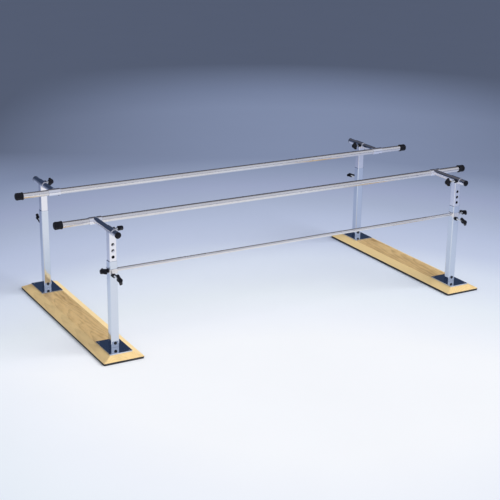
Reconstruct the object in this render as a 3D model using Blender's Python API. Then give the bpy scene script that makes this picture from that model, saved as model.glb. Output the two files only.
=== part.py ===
"""Portable parallel walking bars.

Two floor boards carry four telescoping square posts.  The posts carry two round
handrails on sliding arms, and the near pair also carries a thin lower rail.
Metres, +Z up, floor at Z = 0, handrails along X, "near" is -Y and "left" is -X.
"""

import math

import bmesh
import bpy
from mathutils import Matrix, Vector

# Clearances
SEAT_GAP = 0.0003
SLIDE_GAP = 0.0003

# Layout of the four posts, and the height at which the rails are set
POST_SPACING_X = 2.540
POST_SPACING_Y = 1.156
RAIL_HEIGHT = 0.767
NEAR_RAIL_INSET = 0.245
FAR_RAIL_INSET = 0.215

# Floor boards with their wide bevels, and the rubber mats under them
BOARD_THICKNESS = 0.0295
BOARD_EDGE_HEIGHT = 0.004
SIDE_BEVEL_RUN = 0.056
END_BEVEL_RUN = 0.0445
BOARD_CORNER_RADIUS = 0.006
MAT_THICKNESS = 0.010
MAT_INSET = 0.002

# Base plates with their screws and the stub that each upright stands on
PLATE_WIDTH = 0.146
PLATE_LENGTH = 0.226
PLATE_THICKNESS = 0.006
PLATE_BORDER = 0.001
PLATE_CORNER_RADIUS = 0.005
STUB_HEIGHT = 0.070
SCREW_INSET = 0.016
SCREW_LENGTH = 0.022
SCREW_RADIUS = 0.0025
SCREW_HEAD_RADIUS = 0.0050
SCREW_HEAD_HEIGHT = 0.0014

# Cross bolts at the feet
FOOT_BOLT_HEIGHT = 0.027
FOOT_BOLT_RADIUS = 0.004
FOOT_BOLT_HEAD_RADIUS = 0.010
FOOT_BOLT_HEAD_THICKNESS = 0.006

# Square tubes
OUTER_TUBE = 0.0508
INNER_TUBE = 0.04445
INNER_TUBE_WALL = 0.0025
OUTER_TUBE_CORNER = 0.006
LEAST_CORNER = 0.0004

# Height adjustment
HOLE_PITCH = 0.0381
HOLES_ABOVE_KNOB = 5
HOLES_BELOW_KNOB = 5
LOWERING_STEPS = 4
HOLE_RADIUS = 0.0096
POST_END_MARGIN = 0.029
HEIGHT_KNOB_Z = 0.5015
UPRIGHT_MARGIN = 0.0035

# Round sleeves on the posts, sliding arms and their end plugs
SLEEVE_LENGTH = 0.100
SLEEVE_WALL = 0.0028
SLEEVE_SADDLE = 0.003
WELD_DEPTH = 0.001
ARM_LENGTH = 0.345
ARM_DIAMETER = 0.0381
ARM_WALL = 0.002
ARM_RISE = 0.0038
COLLAR_LENGTH = 0.080
COLLAR_WALL = 0.00365
SET_SCREW_RADIUS = 0.003
SET_SCREW_HEAD_RADIUS = 0.0045
SET_SCREW_HEAD_HEIGHT = 0.0025
SET_SCREW_EDGE = 0.008
PLUG_DEPTH = 0.016
PLUG_THICKNESS = 0.008
PLUG_EDGE_HEIGHT = 0.0025
PLUG_RIM = 0.0008

# Handrails and their end caps
RAIL_LENGTH = 3.048
RAIL_DIAMETER = 0.0381
RAIL_WALL = 0.002
CAP_LENGTH = 0.050
CAP_WALL = 0.0050
CAP_END_THICKNESS = 0.006
CAP_ROUNDING = 0.009
CAP_LIP = 0.0012
CAP_LIP_LENGTH = 0.006

# Lower rail between the near posts, with a square band at each end
LOWER_RAIL_DIAMETER = 0.0222
LOWER_RAIL_WALL = 0.0016
BAND_HEIGHT = 0.028
BAND_WALL = 0.003

# Clamp knobs: bush on the tube, threaded stud and two-winged head
BUSH_RADIUS = 0.0125
BUSH_LENGTH = 0.012
BUSH_CHAMFER = 0.0015
SLEEVE_BUSH_ROOT = 0.005
STUD_RADIUS = 0.005
STUD_TIP_CHAMFER = 0.0008
KNOB_SOCKET_DEPTH = 0.012
HUB_RADIUS = 0.0145
HUB_LENGTH = 0.034
HUB_ROUNDING = 0.006
WING_REACH = 0.036
WIDTH_WING_REACH = 0.028
WING_TIP_RADIUS = 0.0085
WING_TIP_HEIGHT = 0.0090
WING_ROOT_RADIUS = 0.0105
WING_ROOT_HEIGHT = 0.0225
WING_THICKNESS = 0.019
WIDTH_KNOB_OFFSET = 0.025

# Smoothness of round shapes
ROUND_SEGMENTS = 20
ARM_SEGMENTS = 16
SMALL_SEGMENTS = 12
HOLE_SEGMENTS = 10
SCREW_SEGMENTS = 8
CORNER_STEPS = 2
ARC_STEPS = 3
SMOOTH_ANGLE = math.radians(35)

# How far each knob is turned as it stands, in degrees about its stud, and how far it is screwed out
HEIGHT_KNOB_TURNS = {"near_left": -70, "near_right": -52, "far_left": 69, "far_right": 9}
WIDTH_KNOB_TURNS = {"near_left": 69, "near_right": 15, "far_left": 15, "far_right": 17}
LOWER_KNOB_TURN = 90
HEIGHT_KNOB_STANDOFF = 0.072
WIDTH_KNOB_STANDOFFS = {
    "near_left": 0.030, "near_right": 0.055, "far_left": 0.028, "far_right": 0.031,
}
LOWER_KNOB_STANDOFFS = {"left": 0.0125, "right": 0.044}

# Sizes that follow from the ones above
OUTER_TUBE_WALL = (OUTER_TUBE - INNER_TUBE) / 2 - SLIDE_GAP
INNER_TUBE_CORNER = max(OUTER_TUBE_CORNER - OUTER_TUBE_WALL - SLIDE_GAP, LEAST_CORNER)
BOARD_WIDTH = PLATE_WIDTH + 2 * (PLATE_BORDER + SIDE_BEVEL_RUN)
BOARD_LENGTH = POST_SPACING_Y + PLATE_LENGTH + 2 * (PLATE_BORDER + END_BEVEL_RUN)
BOARD_BOTTOM = MAT_THICKNESS + SEAT_GAP
BOARD_TOP = BOARD_BOTTOM + BOARD_THICKNESS
PLATE_BOTTOM = BOARD_TOP + SEAT_GAP
PLATE_TOP = PLATE_BOTTOM + PLATE_THICKNESS
UPRIGHT_BOTTOM = PLATE_TOP + SEAT_GAP
FOOT_BOLT_Z = PLATE_TOP + FOOT_BOLT_HEIGHT
ARM_RADIUS = ARM_DIAMETER / 2
ARM_HEIGHT = RAIL_HEIGHT + ARM_RISE
SLEEVE_BORE_RADIUS = ARM_RADIUS + SLIDE_GAP
SLEEVE_RADIUS = SLEEVE_BORE_RADIUS + SLEEVE_WALL
UPRIGHT_TOP = RAIL_HEIGHT - SLEEVE_RADIUS - LOWERING_STEPS * HOLE_PITCH - UPRIGHT_MARGIN
POST_BOTTOM = HEIGHT_KNOB_Z - HOLES_BELOW_KNOB * HOLE_PITCH - POST_END_MARGIN
COLLAR_BORE_RADIUS = RAIL_DIAMETER / 2 + SEAT_GAP
COLLAR_RADIUS = COLLAR_BORE_RADIUS + COLLAR_WALL
BAND_SIZE = OUTER_TUBE + 2 * (SLIDE_GAP + BAND_WALL)
LOWER_RAIL_Z = HEIGHT_KNOB_Z + BUSH_RADIUS + SEAT_GAP + BAND_HEIGHT / 2
SIDES_X = {"left": -1, "right": 1}
SIDES_Y = {"near": -1, "far": 1}
RAIL_INSETS = {"near": NEAR_RAIL_INSET, "far": FAR_RAIL_INSET}

CHROME = ("chrome", (0.74, 0.77, 0.82), 0.08, 1.0)
RAIL_STEEL = ("rail_steel", (0.80, 0.78, 0.76), 0.16, 1.0)
WOOD = ("board_wood", (0.62, 0.42, 0.20), 0.45, 0.0)
MAT_RUBBER = ("mat_rubber", (0.03, 0.03, 0.035), 0.85, 0.0)
CAP_RUBBER = ("cap_rubber", (0.012, 0.012, 0.015), 0.55, 0.0)
PLUG_PLASTIC = ("plug_plastic", (0.015, 0.015, 0.018), 0.4, 0.0)
KNOB_PLASTIC = ("knob_plastic", (0.010, 0.010, 0.012), 0.35, 0.0)
BLACK_STEEL = ("black_steel", (0.02, 0.02, 0.025), 0.4, 0.6)
STUD_STEEL = ("stud_steel", (0.70, 0.71, 0.73), 0.2, 1.0)


def clear_scene():
    for old in list(bpy.data.objects):
        bpy.data.objects.remove(old, do_unlink=True)


# Outlines and shapes


def facing(direction):
    """Rotation that turns +Z to the given direction."""
    turn = Vector((0.0, 0.0, 1.0)).rotation_difference(Vector(direction))
    return turn.to_matrix().to_4x4()


def circle(radius, segments):
    step = math.tau / segments
    return [(radius * math.cos(i * step), radius * math.sin(i * step)) for i in range(segments)]


def rounded_rectangle(width, depth, radius, steps=CORNER_STEPS):
    """Closed outline, counter-clockwise, with an arc at each corner."""
    points = []
    for quarter, (sx, sy) in enumerate(((1, 1), (-1, 1), (-1, -1), (1, -1))):
        centre_x = sx * (width / 2 - radius)
        centre_y = sy * (depth / 2 - radius)
        for i in range(steps + 1):
            angle = math.radians(90 * (quarter + i / steps))
            points.append((centre_x + radius * math.cos(angle), centre_y + radius * math.sin(angle)))
    return points


def rounded_square(size, radius):
    return rounded_rectangle(size, size, radius)


def arc(centre, radius, start_degrees, end_degrees, steps=ARC_STEPS):
    points = []
    for i in range(steps + 1):
        angle = math.radians(start_degrees + (end_degrees - start_degrees) * i / steps)
        points.append((centre[0] + radius * math.cos(angle), centre[1] + radius * math.sin(angle)))
    return points


def loop_edges(bm, outline):
    verts = [bm.verts.new((x, y, 0.0)) for x, y in outline]
    return [bm.edges.new((verts[i - 1], verts[i])) for i in range(len(verts))]


def raise_faces(bm, faces, height):
    """Extrude faces upwards."""
    grown = bmesh.ops.extrude_face_region(bm, geom=faces)["geom"]
    verts = [item for item in grown if isinstance(item, bmesh.types.BMVert)]
    bmesh.ops.translate(bm, verts=verts, vec=(0.0, 0.0, height))


def outward(bm):
    bmesh.ops.recalc_face_normals(bm, faces=bm.faces[:])
    return bm


def prism(outline, length):
    bm = bmesh.new()
    edges = loop_edges(bm, outline)
    faces = bmesh.ops.edgeloop_fill(bm, edges=edges)["faces"]
    raise_faces(bm, faces, length)
    return outward(bm)


def tube(outer, inner, length):
    """A length of tube between two outlines with as many points each."""
    bm = bmesh.new()
    edges = loop_edges(bm, outer) + loop_edges(bm, inner)
    ring = bmesh.ops.bridge_loops(bm, edges=edges)["faces"]
    raise_faces(bm, ring, length)
    return outward(bm)


def loft(levels):
    """Closed skin through (outline, height) levels with as many points each."""
    bm = bmesh.new()
    loops = []
    for outline, height in levels:
        loops.append([bm.verts.new((x, y, height)) for x, y in outline])
    for lower, upper in zip(loops, loops[1:]):
        for i in range(len(lower)):
            bm.faces.new((lower[i - 1], lower[i], upper[i], upper[i - 1]))
    bm.faces.new(loops[0][::-1])
    bm.faces.new(loops[-1])
    return outward(bm)


def square_tube(size, wall, corner, length):
    inner_corner = max(corner - wall, LEAST_CORNER)
    return tube(rounded_square(size, corner), rounded_square(size - 2 * wall, inner_corner), length)


def round_tube(radius, wall, length, segments=ROUND_SEGMENTS):
    return tube(circle(radius, segments), circle(radius - wall, segments), length)


def rod(radius, length, segments=HOLE_SEGMENTS):
    return prism(circle(radius, segments), length)


def turned(profile, segments=SMALL_SEGMENTS):
    """Spin a profile of (radius, height) points about Z."""
    bm = bmesh.new()
    verts = [bm.verts.new((radius, 0.0, height)) for radius, height in profile]
    edges = [bm.edges.new(pair) for pair in zip(verts, verts[1:])]
    bmesh.ops.spin(
        bm, geom=verts + edges, cent=(0, 0, 0), axis=(0, 0, 1), dvec=(0, 0, 0),
        angle=math.tau, steps=segments, use_merge=True,
    )
    bmesh.ops.remove_doubles(bm, verts=bm.verts[:], dist=1e-6)
    return outward(bm)


def combined(shapes):
    """Gather closed shapes, each with its own placement, in one bmesh."""
    whole = bmesh.new()
    for shape, place in shapes:
        shape.transform(place)
        scratch = bpy.data.meshes.new("scratch")
        shape.to_mesh(scratch)
        shape.free()
        whole.from_mesh(scratch)
        bpy.data.meshes.remove(scratch)
    return whole


def moved(x, y, z):
    return Matrix.Translation((x, y, z))


# Objects


def material(look):
    name, colour, roughness, metallic = look
    found = bpy.data.materials.get(name)
    if found:
        return found
    made = bpy.data.materials.new(name)
    made.use_nodes = True
    shader = made.node_tree.nodes["Principled BSDF"]
    shader.inputs["Base Color"].default_value = (*colour, 1.0)
    shader.inputs["Roughness"].default_value = roughness
    shader.inputs["Metallic"].default_value = metallic
    made.diffuse_color = (*colour, 1.0)
    return made


def mesh_from(bm, name):
    mesh = bpy.data.meshes.new(name)
    bm.to_mesh(mesh)
    bm.free()
    return mesh


def place_object(name, mesh, parent, place=Matrix()):
    made = bpy.data.objects.new(name, mesh)
    bpy.context.scene.collection.objects.link(made)
    made.parent = parent
    made.matrix_local = place
    return made


def add_piece(name, bm, look, parent, place=Matrix()):
    mesh = mesh_from(bm, name)
    mesh.materials.append(material(look))
    mesh.shade_smooth()
    mesh.set_sharp_from_angle(angle=SMOOTH_ANGLE)
    return place_object(name, mesh, parent, place)


def add_empty(name, parent, place=Matrix()):
    return place_object(name, None, parent, place)


def add_boolean(target, bm, operation, label):
    """Cut from the target, or weld to it, a shape given in the target's own frame."""
    helper = place_object(f"{target.name}_{label}", mesh_from(bm, label), target)
    helper.hide_render = True
    helper.display_type = "WIRE"
    modifier = target.modifiers.new(label, "BOOLEAN")
    modifier.operation = operation
    modifier.solver = "EXACT"
    modifier.object = helper


# Floor boards


def add_board(side, parent):
    x = SIDES_X[side] * POST_SPACING_X / 2
    foot = rounded_rectangle(BOARD_WIDTH, BOARD_LENGTH, BOARD_CORNER_RADIUS)
    top = rounded_rectangle(
        BOARD_WIDTH - 2 * SIDE_BEVEL_RUN, BOARD_LENGTH - 2 * END_BEVEL_RUN, BOARD_CORNER_RADIUS
    )
    shape = loft([(foot, 0.0), (foot, BOARD_EDGE_HEIGHT), (top, BOARD_THICKNESS)])
    board = add_piece(f"{side}_board", shape, WOOD, parent, moved(x, 0.0, BOARD_BOTTOM))
    pilots = []
    for post_side in SIDES_Y.values():
        post_y = post_side * POST_SPACING_Y / 2
        for screw_x, screw_y in screw_places():
            place = moved(screw_x, post_y + screw_y, BOARD_THICKNESS)
            pilots.append((pilot_shape(), place))
    add_boolean(board, combined(pilots), "DIFFERENCE", "pilot_holes")

    mat_outline = rounded_rectangle(
        BOARD_WIDTH - 2 * MAT_INSET, BOARD_LENGTH - 2 * MAT_INSET, BOARD_CORNER_RADIUS
    )
    add_piece(f"{side}_floor_mat", prism(mat_outline, MAT_THICKNESS), MAT_RUBBER, parent, moved(x, 0.0, 0.0))


# Base plates and uprights


def screw_places():
    reach_x = PLATE_WIDTH / 2 - SCREW_INSET
    reach_y = PLATE_LENGTH / 2 - SCREW_INSET
    return [(sx * reach_x, sy * reach_y) for sx in (-1, 1) for sy in (-1, 1)]


def screw_shape():
    """Low head on the plate and a shank in the board; Z = 0 is the plate's underside."""
    seat = PLATE_THICKNESS - WELD_DEPTH
    rim = PLATE_THICKNESS + SCREW_HEAD_HEIGHT / 2
    top = PLATE_THICKNESS + SCREW_HEAD_HEIGHT
    profile = [
        (0.0, top), (SCREW_HEAD_RADIUS, rim), (SCREW_HEAD_RADIUS, seat), (SCREW_RADIUS, seat),
        (SCREW_RADIUS, -SCREW_LENGTH), (0.0, -SCREW_LENGTH),
    ]
    return turned(profile, SCREW_SEGMENTS)


def pilot_shape():
    """Hole in the board for a screw's shank, open at the board's top."""
    depth = SCREW_LENGTH + SEAT_GAP
    shape = rod(SCREW_RADIUS + SEAT_GAP, 2 * depth, SCREW_SEGMENTS)
    shape.transform(moved(0.0, 0.0, -depth))
    return shape


def cross_hole(radius, length, height):
    """Cutter along Y, centred on the tube's axis."""
    place = moved(0.0, -length / 2, height) @ facing((0, 1, 0))
    return (rod(radius, length), place)


def add_base_plate(corner, x, y, parent):
    outline = rounded_rectangle(PLATE_WIDTH, PLATE_LENGTH, PLATE_CORNER_RADIUS)
    place = moved(x, y, PLATE_BOTTOM)
    plate = add_piece(f"{corner}_base_plate", prism(outline, PLATE_THICKNESS), CHROME, parent, place)
    stub = square_tube(INNER_TUBE, INNER_TUBE_WALL, INNER_TUBE_CORNER, STUB_HEIGHT + WELD_DEPTH)
    stub.transform(moved(0.0, 0.0, PLATE_THICKNESS - WELD_DEPTH))
    screws = [(screw_shape(), moved(screw_x, screw_y, 0.0)) for screw_x, screw_y in screw_places()]
    add_boolean(plate, combined([(stub, Matrix())] + screws), "UNION", "stub_and_screws")
    bolt_hole = cross_hole(FOOT_BOLT_RADIUS + SEAT_GAP, OUTER_TUBE, FOOT_BOLT_Z - PLATE_BOTTOM)
    add_boolean(plate, combined([bolt_hole]), "DIFFERENCE", "bolt_hole")


def add_upright(corner, x, y, outer_y, parent):
    length = UPRIGHT_TOP - UPRIGHT_BOTTOM
    shape = square_tube(OUTER_TUBE, OUTER_TUBE_WALL, OUTER_TUBE_CORNER, length)
    upright = add_piece(f"{corner}_upright", shape, CHROME, parent, moved(x, y, UPRIGHT_BOTTOM))
    foot_hole = cross_hole(FOOT_BOLT_RADIUS + SEAT_GAP, 2 * OUTER_TUBE, FOOT_BOLT_Z - UPRIGHT_BOTTOM)
    knob_axis = moved(0.0, 0.0, HEIGHT_KNOB_Z - UPRIGHT_BOTTOM) @ facing((0, outer_y, 0))
    bush = bush_shape(WELD_DEPTH)
    bush.transform(knob_axis @ moved(0, 0, OUTER_TUBE / 2))
    add_boolean(upright, bush, "UNION", "bush")
    add_boolean(upright, combined([foot_hole, (stud_hole(), knob_axis)]), "DIFFERENCE", "holes")


def foot_bolt_shape():
    """Bolt across an upright: a shaft between two low domed heads."""
    seat = OUTER_TUBE / 2 + SEAT_GAP
    top = seat + FOOT_BOLT_HEAD_THICKNESS
    shoulder = FOOT_BOLT_HEAD_RADIUS * 0.6
    profile = [
        (0.0, top), (shoulder, top - FOOT_BOLT_HEAD_THICKNESS * 0.2), (FOOT_BOLT_HEAD_RADIUS, seat),
        (FOOT_BOLT_RADIUS, seat), (FOOT_BOLT_RADIUS, -seat),
        (FOOT_BOLT_HEAD_RADIUS, -seat), (shoulder, -top + FOOT_BOLT_HEAD_THICKNESS * 0.2), (0.0, -top),
    ]
    return turned(profile, HOLE_SEGMENTS)


# Telescoping posts


def add_post(corner, x, y, side_x, outer_y, parent):
    """Inner tube with its row of holes, saddled to the round sleeve across its top."""
    sleeve_z = ARM_HEIGHT - POST_BOTTOM
    shape = square_tube(INNER_TUBE, INNER_TUBE_WALL, INNER_TUBE_CORNER, sleeve_z - SLEEVE_SADDLE)
    slide = add_empty(f"{corner}_post_slide", parent, moved(x, y, POST_BOTTOM))
    post = add_piece(f"{corner}_post", shape, CHROME, slide)
    along_sleeve = moved(0.0, 0.0, sleeve_z) @ facing((0, 1, 0))
    sleeve = rod(SLEEVE_RADIUS, SLEEVE_LENGTH, ARM_SEGMENTS)
    sleeve.transform(along_sleeve @ moved(0.0, 0.0, -SLEEVE_LENGTH / 2))
    add_boolean(post, sleeve, "UNION", "sleeve")
    knob_axis = moved(0.0, -side_x * WIDTH_KNOB_OFFSET, sleeve_z) @ facing((-side_x, 0, 0))
    bush = bush_shape(SLEEVE_BUSH_ROOT)
    bush.transform(knob_axis @ moved(0, 0, SLEEVE_RADIUS))
    add_boolean(post, bush, "UNION", "bush")
    bore = rod(SLEEVE_BORE_RADIUS, 2 * SLEEVE_LENGTH, ARM_SEGMENTS)
    bore.transform(along_sleeve @ moved(0.0, 0.0, -SLEEVE_LENGTH))
    add_boolean(post, bore, "DIFFERENCE", "bore")
    holes = [(stud_hole(), knob_axis)]
    for step in range(-HOLES_BELOW_KNOB, HOLES_ABOVE_KNOB + 1):
        hole_z = HEIGHT_KNOB_Z + step * HOLE_PITCH - POST_BOTTOM
        hole = rod(HOLE_RADIUS, INNER_TUBE, SCREW_SEGMENTS)
        holes.append((hole, moved(0, 0, hole_z) @ facing((0, outer_y, 0))))
    add_boolean(post, combined(holes), "DIFFERENCE", "holes")
    return slide


# Handrails with their arms


def add_arm(corner, x, side_y, rail_y, parent):
    """Arm with a collar welded across its end, a little below its middle; the origin is on the rail's axis."""
    shape = round_tube(ARM_RADIUS, ARM_WALL, ARM_LENGTH, ARM_SEGMENTS)
    shape.transform(moved(0.0, 0.0, ARM_RISE) @ facing((0, side_y, 0)))
    place = moved(x, rail_y, RAIL_HEIGHT)
    arm = add_piece(f"{corner}_arm", shape, CHROME, parent, place)
    collar = rod(COLLAR_RADIUS, COLLAR_LENGTH, ROUND_SEGMENTS)
    collar.transform(moved(-COLLAR_LENGTH / 2, 0.0, 0.0) @ facing((1, 0, 0)))
    add_boolean(arm, collar, "UNION", "collar")
    bore = rod(COLLAR_BORE_RADIUS, 2 * COLLAR_LENGTH, ROUND_SEGMENTS)
    bore.transform(moved(-COLLAR_LENGTH, 0.0, 0.0) @ facing((1, 0, 0)))
    screw_x = COLLAR_LENGTH / 2 - SET_SCREW_EDGE
    downwards = moved(screw_x, 0.0, 0.0) @ facing((0, 0, -1))
    screw_hole = rod(SET_SCREW_RADIUS + SEAT_GAP, 2 * COLLAR_RADIUS, SCREW_SEGMENTS)
    add_boolean(arm, combined([(bore, Matrix()), (screw_hole, downwards)]), "DIFFERENCE", "holes")
    add_piece(f"{corner}_set_screw", set_screw_shape(), BLACK_STEEL, parent, place @ downwards)

    end_y = rail_y + side_y * (ARM_LENGTH + SEAT_GAP)
    plug_place = moved(x, end_y, ARM_HEIGHT) @ facing((0, side_y, 0))
    add_piece(f"{corner}_arm_plug", plug_shape(), PLUG_PLASTIC, parent, plug_place)


def set_screw_shape():
    """Screw that locks the rail in its collar; Z = 0 is the rail's axis."""
    tip = RAIL_DIAMETER / 2 + SEAT_GAP
    seat = COLLAR_RADIUS + SEAT_GAP
    top = seat + SET_SCREW_HEAD_HEIGHT
    profile = [
        (0.0, tip), (SET_SCREW_RADIUS, tip), (SET_SCREW_RADIUS, seat), (SET_SCREW_HEAD_RADIUS, seat),
        (SET_SCREW_HEAD_RADIUS, top), (0.0, top),
    ]
    return turned(profile, SCREW_SEGMENTS)


def plug_shape():
    """End plug: a domed head over the tube's end and a spigot inside it."""
    spigot = ARM_RADIUS - ARM_WALL - SEAT_GAP
    head = ARM_RADIUS + PLUG_RIM
    middle = (PLUG_EDGE_HEIGHT + 2 * PLUG_THICKNESS) / 3
    profile = [
        (0.0, -PLUG_DEPTH), (spigot, -PLUG_DEPTH), (spigot, 0.0), (head, 0.0),
        (head, PLUG_EDGE_HEIGHT), (head * 0.76, middle), (0.0, PLUG_THICKNESS),
    ]
    return turned(profile, ARM_SEGMENTS)


def cap_shape():
    """Rubber end cap turned about Z, open at the bottom, with a lip round its mouth."""
    bore = RAIL_DIAMETER / 2 + SEAT_GAP
    outer = bore + CAP_WALL
    floor = CAP_LENGTH - CAP_END_THICKNESS
    crown = arc((outer - CAP_ROUNDING, CAP_LENGTH - CAP_ROUNDING), CAP_ROUNDING, 0, 90, 2)
    profile = [(0.0, floor), (bore, floor), (bore, 0.0), (outer + CAP_LIP, 0.0)]
    profile += [(outer + CAP_LIP, CAP_LIP_LENGTH), (outer, CAP_LIP_LENGTH + CAP_LIP)]
    profile += crown + [(0.0, CAP_LENGTH)]
    return turned(profile, ROUND_SEGMENTS)


def add_handrail(side, rail_y, parent):
    start = -RAIL_LENGTH / 2
    shape = round_tube(RAIL_DIAMETER / 2, RAIL_WALL, RAIL_LENGTH)
    along_rail = moved(start, rail_y, RAIL_HEIGHT) @ facing((1, 0, 0))
    add_piece(f"{side}_handrail", shape, RAIL_STEEL, parent, along_rail)
    cap_mouth = RAIL_LENGTH / 2 + SEAT_GAP + CAP_END_THICKNESS - CAP_LENGTH
    for end, side_x in SIDES_X.items():
        place = moved(side_x * cap_mouth, rail_y, RAIL_HEIGHT) @ facing((side_x, 0, 0))
        add_piece(f"{side}_{end}_rail_cap", cap_shape(), CAP_RUBBER, parent, place)


# Lower rail


def add_lower_rail(parent):
    """Thin tube welded between two square bands that slide on the near uprights."""
    y = SIDES_Y["near"] * POST_SPACING_Y / 2
    slide = add_empty("lower_rail_slide", parent, moved(0.0, y, LOWER_RAIL_Z))
    face = POST_SPACING_X / 2 - BAND_SIZE / 2
    half = face + WELD_DEPTH
    bar = rod(LOWER_RAIL_DIAMETER / 2, 2 * half, SMALL_SEGMENTS)
    bar.transform(moved(-half, 0.0, 0.0) @ facing((1, 0, 0)))
    lower_rail = add_piece("lower_rail", bar, CHROME, slide)
    bands = []
    for side_x in SIDES_X.values():
        band = square_tube(BAND_SIZE, BAND_WALL, OUTER_TUBE_CORNER + SLIDE_GAP + BAND_WALL, BAND_HEIGHT)
        bands.append((band, moved(side_x * POST_SPACING_X / 2, 0.0, -BAND_HEIGHT / 2)))
    add_boolean(lower_rail, combined(bands), "UNION", "bands")
    reach = POST_SPACING_X / 2
    bushes = []
    bore = rod(LOWER_RAIL_DIAMETER / 2 - LOWER_RAIL_WALL, 2 * reach, SMALL_SEGMENTS)
    holes = [(bore, moved(-reach, 0.0, 0.0) @ facing((1, 0, 0)))]
    for side_x in SIDES_X.values():
        knob_axis = moved(side_x * reach, 0.0, 0.0) @ facing((side_x, 0, 0))
        bushes.append((bush_shape(WELD_DEPTH), knob_axis @ moved(0, 0, BAND_SIZE / 2)))
        holes.append((stud_hole(), knob_axis))
    add_boolean(lower_rail, combined(bushes), "UNION", "bushes")
    add_boolean(lower_rail, combined(holes), "DIFFERENCE", "holes")
    return slide


# Clamp knobs


def bush_shape(root):
    """Round threaded bush whose root is sunk in a tube; Z = 0 is the tube's outermost face."""
    profile = [
        (0.0, -root), (BUSH_RADIUS, -root), (BUSH_RADIUS, BUSH_LENGTH - BUSH_CHAMFER),
        (BUSH_RADIUS - BUSH_CHAMFER, BUSH_LENGTH), (0.0, BUSH_LENGTH),
    ]
    return turned(profile)


def stud_hole():
    """Hole for a stud, from a tube's axis out through its wall and bush."""
    return rod(STUD_RADIUS + SEAT_GAP, BAND_SIZE / 2 + 2 * BUSH_LENGTH)


def stud_shape(wall, standoff):
    """Stud from the inner face of a tube's wall to the bottom of the knob's socket."""
    tip = -wall
    end = standoff + KNOB_SOCKET_DEPTH - SEAT_GAP
    profile = [
        (0.0, tip), (STUD_RADIUS - STUD_TIP_CHAMFER, tip), (STUD_RADIUS, tip + STUD_TIP_CHAMFER),
        (STUD_RADIUS, end), (0.0, end),
    ]
    return turned(profile, HOLE_SEGMENTS)


def wing_outline(reach):
    """Side view of one wing: a broad root in the hub and a round tip swept back to the tube."""
    tip = (reach - WING_TIP_RADIUS, WING_TIP_HEIGHT)
    root = (0.0, WING_ROOT_HEIGHT)
    lean = math.degrees(math.atan2(tip[1] - root[1], tip[0] - root[0]))
    spread = math.degrees(math.asin((WING_ROOT_RADIUS - WING_TIP_RADIUS) / math.dist(tip, root)))
    low = lean - 90 + spread
    high = lean + 90 - spread
    points = [(0.0, WING_ROOT_HEIGHT + WING_ROOT_RADIUS), (0.0, WING_ROOT_HEIGHT - WING_ROOT_RADIUS)]
    return points + arc(tip, WING_TIP_RADIUS, low, high, 5)


def add_knob(name, direction, turn, reach, standoff, parent, place):
    """Black head with two wings, turned about its own stud."""
    spin = facing(direction) @ Matrix.Rotation(math.radians(turn), 4, "Z") @ moved(0, 0, standoff)
    shoulder = HUB_LENGTH - HUB_ROUNDING
    profile = [(0.0, 0.0), (HUB_RADIUS, 0.0)]
    profile += arc((HUB_RADIUS - HUB_ROUNDING, shoulder), HUB_ROUNDING, 0, 90, 2) + [(0.0, HUB_LENGTH)]
    knob = add_piece(f"{name}_knob", turned(profile), KNOB_PLASTIC, parent, place @ spin)
    upright_wing = moved(0.0, WING_THICKNESS / 2, 0.0) @ Matrix.Rotation(math.radians(90), 4, "X")
    for label, angle in (("wing_one", 0), ("wing_two", 180)):
        wing = prism(wing_outline(reach), WING_THICKNESS)
        wing.transform(Matrix.Rotation(math.radians(angle), 4, "Z") @ upright_wing)
        add_boolean(knob, wing, "UNION", label)
    socket = rod(STUD_RADIUS + SEAT_GAP, 2 * KNOB_SOCKET_DEPTH)
    socket.transform(moved(0.0, 0.0, -KNOB_SOCKET_DEPTH))
    add_boolean(knob, socket, "DIFFERENCE", "socket")


def add_stud(name, direction, wall, standoff, parent, place):
    add_piece(f"{name}_stud", stud_shape(wall, standoff), STUD_STEEL, parent, place @ facing(direction))


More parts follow.
